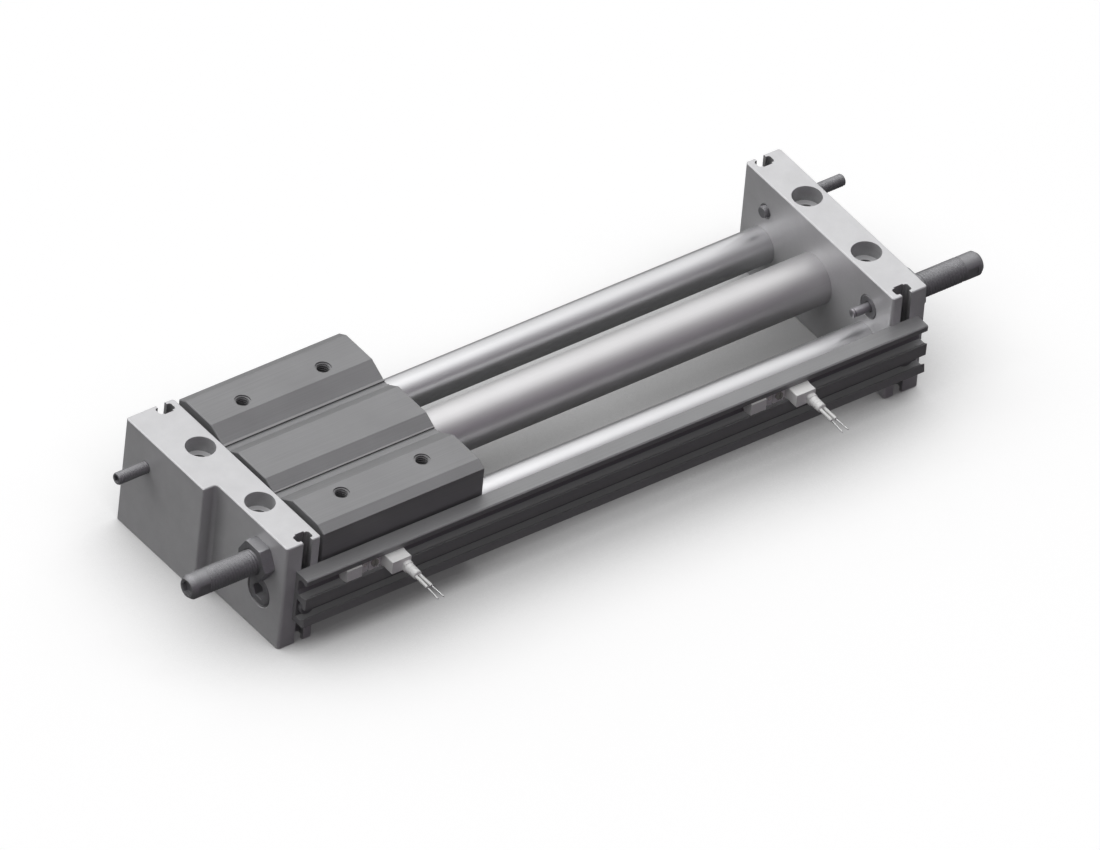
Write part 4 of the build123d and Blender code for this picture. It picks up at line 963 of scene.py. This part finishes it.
@dataclass
class StopScrews(Assembly):
    """The two socket set screws that the slide block stops on, threaded all along."""

    pitch: float = 0.7
    thread_depth: float = 0.2
    neck_step: float = 0.06
    point_depth: float = 0.12
    point_edge: float = 0.35
    socket: Socket = Socket(2.0, 2.5, rim=0.08, bevel=0.1, point=0.4)

    def shape(self, box: Box, outward: int) -> Turned:
        """A set screw with its flat point inwards and its hexagon socket outwards.

        Args:
            box: the solid's box.
            outward: 1 for the right one and -1 for the left one.

        Returns:
            The closed shape.
        """
        tip, tail = box.ends(outward)
        radius = box.size[2] / 2 - CLEARANCE
        root = radius - self.thread_depth
        neck = root - self.neck_step
        screw = Turned(Along.X, box.middle[1:], 48)
        screw.thread(tip, tail, radius, root, self.pitch, neck)
        screw.behind(tip, -outward, [(self.point_depth, 0.0), (0.0, neck - self.point_edge), (0.0, neck)])
        return screw.behind(tail, outward, [(0.0, neck), *self.socket.rows(screw)])

    def build(self) -> None:
        """Makes both screws."""
        for side, outward in OUTWARD.items():
            node = "stop_screw_" + side
            screw = self.shape(Box.of(node), outward)
            self.settle(node + "_threaded", screw.patches, "zinc_steel", node, body="stop_" + side)


@dataclass
class ShaftScrews(Assembly):
    """Socket cap screws sunk in the near ends of the plates."""

    head: float = 10.0
    head_height: float = 6.0
    shank: float = 6.0
    tip_bevel: float = 0.5
    rim_round: float = 0.6
    socket: Socket = Socket(5.0, 3.0, rim=0.25, bevel=0.15, point=0.9)
    knurls: int = 48
    knurl_depth: float = 0.12

    def shape(self, box: Box, outward: int) -> Turned:
        """One screw: radius of the knurled head is r - depth (1 + cos(n angle)) / 2.

        Args:
            box: the solid's box.
            outward: 1 for the right one and -1 for the left one.

        Returns:
            The closed shape.
        """
        screw = Turned(Along.X, box.middle[1:], 192)
        tip = box.size[0]
        radius = self.head / 2 - CLEARANCE
        shank = self.shank / 2 - CLEARANCE
        knurl = radius - self.knurl_depth * (1 + np.cos(self.knurls * screw.angles)) / 2
        return screw.behind(box.ends(outward)[1], outward, [
            (tip, 0.0), (tip, self.shank / 2 - self.tip_bevel), (tip - self.tip_bevel, shank),
            (self.head_height, shank), (self.head_height, radius - 0.2),
            (self.head_height - 0.2, knurl), (1.1, knurl), (1.0, radius - 0.05),
            *arc_rows(0.0, radius - 0.05, self.rim_round, -1), *self.socket.rows(screw),
        ])

    def build(self) -> None:
        """Makes both screws as one piece."""
        screws = both_ends("shaft_screws", self.shape)
        self.settle("shaft_cap_screws", screws, "zinc_steel", "shaft_screws")


@dataclass
class TappedHoles(Assembly):
    """Thread turns inside the load holes of the slide block and inside the two ports."""

    core: float = 4.16
    backing: float = 0.03
    ridge: float = 0.2
    pitch: float = 0.8
    load_depth: float = 9.4
    load_mouth: float = 0.5
    port_depth: float = 5.0
    port_mouth: float = 0.65

    def sleeve(self, along: Along, centre: Sequence[float], start: float, end: float) -> Turned:
        """A thin sleeve whose inside is a thread and whose outside lies on the hole's wall.

        Args:
            along: the hole's axis.
            centre: the two coordinates of that axis.
            start: where the thread begins.
            end: where it ends.

        Returns:
            The closed shape.
        """
        shape = Turned(along, centre, 48)
        wall = self.core / 2
        root = wall - self.backing
        shape.thread(start, end, root - self.ridge, root, self.pitch, root)
        return shape.rows([(start, root), (start, wall), (end, wall), (end, root)])

    def build(self) -> None:
        """Puts thread turns in the four load holes and the two ports."""
        mounts = {mount["name"]: mount for mount in frame["record"]["mounts"]}
        load = mounts["load_bolts"]
        centre = np.array(load["pos_m"]) / MM
        half = (load["dims"]["spacing_x_mm"] / 2, load["dims"]["spacing_y_mm"] / 2)
        threads: list[np.ndarray] = []
        for sign_x in (-1, 1):
            for sign_y in (-1, 1):
                axis = (centre[0] + sign_x * half[0], centre[1] + sign_y * half[1])
                ends = (centre[2] - self.load_depth, centre[2] - self.load_mouth)
                threads += self.sleeve(Along.Z, axis, *ends).patches
        self.settle("load_hole_threads", threads, "block_aluminium", body="carriage")
        face = Box.of("end_plate_b").high[0]
        threads = []
        for name in ("port_tube", "port_shaft"):
            axis = np.array(mounts[name]["pos_m"][1:]) / MM
            threads += self.sleeve(Along.X, axis, face - self.port_depth, face - self.port_mouth).patches
        self.settle("port_threads", threads, "plate_aluminium")


@dataclass
class Scrapers(Assembly):
    """Dirt scrapers of the slide block with a lip that wipes the tube."""

    tube_radius: float = 8.3

    def shape(self, box: Box, outward: int) -> Turned:
        """A ring with a relief groove and a thin lip, by depth behind its face and radius.

        Args:
            box: the solid's box.
            outward: 1 for the right one and -1 for the left one.

        Returns:
            The closed shape.
        """
        outer = box.size[2] / 2
        depth = box.size[0]
        lip = self.tube_radius + 0.03
        return Turned(Along.X, box.middle[1:]).behind(box.ends(outward)[1], outward, [
            (0.3, outer), (0.0, outer - 0.3), (0.0, outer - 2.2), (0.9, outer - 2.6), (1.0, lip + 1.4),
            (0.25, lip + 0.5), (0.05, lip + 0.15), (0.35, lip), (1.5, lip + 0.35), (depth, lip + 0.4),
            (depth, outer), (0.3, outer),
        ])

    def build(self) -> None:
        """Makes both scrapers as one piece."""
        rings = both_ends("scrapers", self.shape)
        self.settle("lipped_scrapers", rings, "seal_rubber", "scrapers", body="carriage")


@dataclass
class Switch(Assembly):
    """One auto switch: its lens, strain relief, two insulated wires and their bare strands.

    Attributes:
        side: which of the two switches it is.
        strands: bare strands in each wire.
        strand_radius: radius of one strand.
        lay: length over which the strands go once round.
        stagger: step between the strands' ends.
        dome: rise of the lens.
        taper: share of its radius that the strain relief loses down to its mouth.
        mouth_round: rounding of that mouth.
        grooves: where its grooves begin, as shares of its length.
        groove_width: width of a groove.
        groove_slope: length of either slope of a groove.
        groove_depth: depth of a groove.
        spread: how far a wire's end stands off sideways.
        sag: how far a wire's end hangs down.
        overlap: share of the wire over which the strands reach into the insulation.
        tip_gap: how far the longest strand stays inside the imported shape.
    """

    side: str = "left"
    strands: int = 7
    strand_radius: float = 0.085
    lay: float = 4.5
    stagger: float = 0.12
    dome: float = 0.3
    taper: float = 0.08
    mouth_round: float = 0.35
    grooves: tuple[float, float] = (0.34, 0.58)
    groove_width: float = 0.36
    groove_slope: float = 0.08
    groove_depth: float = 0.1
    spread: float = 0.35
    sag: float = 0.25
    overlap: float = 0.03
    tip_gap: float = 0.05

    def lens(self) -> None:
        """Turns the indicator's domed lens: the place is front + dome (1 - cos t), t up to a quarter turn."""
        node = "switch_indicator_" + self.side
        box = Box.of(node)
        radius = box.size[0] / 2
        shape = Turned(Along.Y, box.middle[[0, 2]], 48)
        front = box.low[1]
        turn = np.linspace(0.0, np.pi / 2, 8)
        dome = [(front + self.dome * (1 - math.cos(t)), radius * math.sin(t)) for t in turn]
        shape.rows([*dome, (box.high[1], radius), (box.high[1], 0.0)])
        self.settle(node + "_lens", shape.patches, "indicator_plastic", node)

    def boot(self) -> None:
        """Turns the strain relief, slightly tapered, with two shallow grooves and a rounded mouth."""
        node = "switch_boot_" + self.side
        box = Box.of(node)
        radius = box.size[0] / 2
        shape = Turned(Along.Y, box.middle[[0, 2]], 60)
        length = box.size[1]
        mouth = arc_rows(box.low[1], radius * (1 - self.taper), self.mouth_round, -1)[::-1]
        rows = [(box.low[1], 0.0), *mouth]
        for share in self.grooves:
            start = box.low[1] + length * share
            end = start + self.groove_width
            here = radius * (1 - self.taper * (1 - share))
            deep = here - self.groove_depth
            rows += [(start, here), (start + self.groove_slope, deep),
                     (end - self.groove_slope, deep), (end, here)]
        rows += [(box.high[1], radius), (box.high[1], 0.0)]
        shape.rows(rows)
        self.settle(node + "_relief", shape.patches, "switch_plastic", node)

    def wire_path(self, start: np.ndarray, length: float, sign: int, first: float,
                  last: float) -> np.ndarray:
        """Part of a wire's line, which leaves along -Y, parts by spread s^2 and sinks by sag s^2.

        Args:
            start: where the wire leaves the strain relief.
            length: whole length of wire and strands.
            sign: -1 or 1 for the two wires.
            first: share of the length where this part begins.
            last: share where it ends.

        Returns:
            Points along the part.
        """
        share = np.linspace(first, last, 24)
        x = start[0] + sign * self.spread * share ** 2
        z = start[2] - self.sag * share ** 2
        return np.stack([x, start[1] - share * length, z], axis=-1)

    def wires(self) -> None:
        """Sweeps the insulation of both wires, and seven strands twisted round the line of each."""
        wires, bare = "switch_wires_" + self.side, "switch_conductors_" + self.side
        near, far = Box.of(wires), Box.of(bare)
        length = near.high[1] - far.low[1] - self.tip_gap
        cut = near.size[1] / length
        insulation, strands = [], []
        for box, sign in zip(half_boxes(wires), OUTWARD.values()):
            radius = box.size[0] / 2
            start = np.array([box.middle[0], box.high[1], box.middle[2]])
            insulation.append(swept(self.wire_path(start, length, sign, 0.0, cut), radius))
            core = self.wire_path(start, length, sign, cut - self.overlap, 1.0)
            along = (core[0, 1] - core[:, 1]) / self.lay * 2 * np.pi
            for number in range(self.strands):
                offset = 0.0 if number == 0 else 2 * self.strand_radius
                turn = along + 2 * np.pi * number / (self.strands - 1)
                line = core.copy()
                line[:, 0] += offset * np.cos(turn)
                line[:, 2] += offset * np.sin(turn)
                line[-1, 1] += self.stagger * (number % 3)
                strands.append(swept(line, self.strand_radius, 8))
        self.settle(wires + "_insulation", insulation, "wire_plastic", wires)
        self.settle(bare + "_twisted", strands, "copper_strands", bare)

    def build(self) -> None:
        """Makes the switch's fine pieces."""
        self.body = "switch_" + self.side
        self.lens()
        self.boot()
        self.wires()


@dataclass
class Studio:
    """Camera, lamps, floor and backdrop.

    The camera has no perspective. Its place is given as azimuth and elevation of the line of sight, with
    azimuth 0 looking along +Y, and as a roll about that line.
    """

    azimuth: float = -40.014
    elevation: float = 39.64
    roll: float = 5.736
    view_width: float = 0.32885
    aim: tuple[float, float, float] = (-0.00206, -0.01359, 0.020)
    distance: float = 1.2
    soft_box: tuple[float, float, float] = (0.5, 0.6, 0.62)
    soft_range: tuple[float, float] = (-0.15, 1.0)
    soft_tones: tuple[Colour, Colour, Colour] = ((0.12, 0.1, 0.125), (0.36, 0.345, 0.365), WHITE)
    ambient: float = 0.05
    floor_size: float = 3.0
    floor_drop: float = 0.05
    floor_tone: float = 0.4
    floor_dull: float = 0.16
    floor_glow: float = 0.7
    shade_reach: float = 72.0
    shade_range: tuple[float, float] = (0.28, 0.9)

    def camera(self) -> None:
        """Places the camera."""
        turn, rise, tilt = (math.radians(a) for a in (self.azimuth, self.elevation, self.roll))
        back = Vector((math.sin(turn) * math.cos(rise), -math.cos(turn) * math.cos(rise), math.sin(rise)))
        level = Vector((math.cos(turn), math.sin(turn), 0.0))
        upright = back.cross(level)
        right = level * math.cos(tilt) + upright * math.sin(tilt)
        up = back.cross(right)
        data = bpy.data.cameras.new("camera")
        data.type = "ORTHO"
        data.ortho_scale = self.view_width
        data.clip_start = 0.01
        data.clip_end = 10.0
        camera = bpy.data.objects.new("camera", data)
        bpy.context.scene.collection.objects.link(camera)
        axes = Matrix((right, up, back)).transposed().to_4x4()
        camera.matrix_world = Matrix.Translation(Vector(self.aim) + back * self.distance) @ axes
        bpy.context.scene.camera = camera

    def sun(self, name: str, direction: Sequence[float], strength: float, softness: float,
            colour: Colour = WHITE, shadow: bool = True) -> None:
        """A distant lamp as wide as a soft box.

        Args:
            name: the lamp's name.
            direction: from the part towards the lamp.
            strength: light on a face square to it, where pi shows a colour as it is written.
            softness: the lamp's width as seen from the part, in degrees.
            colour: its colour.
            shadow: whether it throws shadows, or fills slots and ledges too.
        """
        data = bpy.data.lights.new(name, "SUN")
        data.energy = strength
        data.angle = math.radians(softness)
        data.color = colour
        data.use_shadow = shadow
        lamp = bpy.data.objects.new(name, data)
        bpy.context.scene.collection.objects.link(lamp)
        lamp.matrix_world = Vector(direction).to_track_quat("Z", "Y").to_matrix().to_4x4()

    def backdrop(self) -> None:
        """A world that is white to the camera, dim as light, and a soft box to reflections.

        The soft box hangs above and behind the part. Its brightness follows the dot product of the
        direction and its own, over soft_range, and goes through the three soft_tones.
        """
        world = bpy.data.worlds.new("studio")
        bpy.context.scene.world = world
        world.use_nodes = True
        kit = NodeKit(world.node_tree)
        path = kit.add("ShaderNodeLightPath")
        place = kit.add("ShaderNodeTexCoord").outputs["Generated"]
        level = kit.spread(kit.dot(place, self.soft_box), 0.0, 1.0, *self.soft_range)
        ramp = kit.add("ShaderNodeValToRGB", {"Fac": level})
        ramp.color_ramp.elements.new(0.5)
        for element, colour in zip(ramp.color_ramp.elements, self.soft_tones):
            element.color = (*colour, 1.0)
        seen = kit.add("ShaderNodeBackground", {"Color": ramp.outputs["Color"]})
        white = kit.add("ShaderNodeBackground", {"Color": (*WHITE, 1.0)})
        dim = kit.add("ShaderNodeBackground", {"Strength": self.ambient})
        glossy = kit.blend(path.outputs["Is Glossy Ray"], dim, seen)
        camera = kit.blend(path.outputs["Is Camera Ray"], glossy, white)
        kit.add("ShaderNodeOutputWorld", {"Surface": camera.outputs[0]})

    def floor(self) -> None:
        """A white floor that takes the part's shadow from the lamps and throws little light back up.

        Its glow to the camera dims by how much of the sky it sees within shade_reach, a painted shadow under
        and beside the part.
        """
        half = self.floor_size / 2 / MM
        grid = np.array([[[x, y, -self.floor_drop] for y in (-half, half)] for x in (-half, half)])
        floor = mesh_piece("floor", [grid])
        if floor.data.polygons[0].normal.z < 0:
            floor.data.flip_normals()
        kit = Shader("floor_white")
        # Painted shadow: the floor's glow to the camera dims where the part hides the sky from it.
        sky = kit.add("ShaderNodeAmbientOcclusion", {"Distance": self.shade_reach * MM}, samples=16)
        kit.tune(kit.surface, {
            "Roughness": 0.9,
            "Specular IOR Level": 0.0,
            "Base Color": (*[self.floor_tone] * 3, 1.0),
            "Emission Color": (*WHITE, 1.0),
            "Emission Strength": kit.spread(sky.outputs["AO"], 0.0, self.floor_glow, *self.shade_range),
        })
        path = kit.add("ShaderNodeLightPath")
        dull = kit.add("ShaderNodeBsdfDiffuse", {"Color": (*[self.floor_dull] * 3, 1.0)})
        chosen = kit.blend(path.outputs["Is Camera Ray"], dull, kit.surface)
        kit.tune(kit.output, {"Surface": chosen.outputs[0]})
        floor.data.materials.append(kit.material)

    def build(self) -> None:
        """Sets up the whole studio."""
        self.camera()
        self.sun("key", (-0.25, 0.2, 1.0), 0.65, 90.0)
        self.sun("top_fill", (-0.25, 0.2, 1.0), 1.05, 90.0, shadow=False)
        self.sun("back", (-0.35, 1.0, 0.8), 0.78, 70.0)
        self.sun("left_fill", (-1.0, -0.1, 0.12), 0.12, 26.0)
        self.sun("front_fill", (-0.2, -1.0, 0.35), 0.07, 50.0, (1.0, 0.5, 1.05))
        self.sun("right_fill", (1.0, 0.3, 0.3), 0.35, 60.0)
        self.backdrop()
        self.floor()
        bpy.context.scene.view_settings.view_transform = "Standard"


def main() -> None:
    """Builds the studio and every sub-assembly."""
    logging.basicConfig(level=logging.INFO, format="%(name)s: %(message)s")
    Studio().build()
    finishes = Finishes()
    kinds = (CarriedOver, TubeAndShafts, ShockAbsorbers, StopScrews, ShaftScrews, TappedHoles, Scrapers)
    sub_assemblies = [kind(finishes) for kind in kinds]
    sub_assemblies += [Switch(finishes, side=side) for side in OUTWARD]
    for sub_assembly in sub_assemblies:
        sub_assembly.build()


if __name__ == "__main__":
    main()
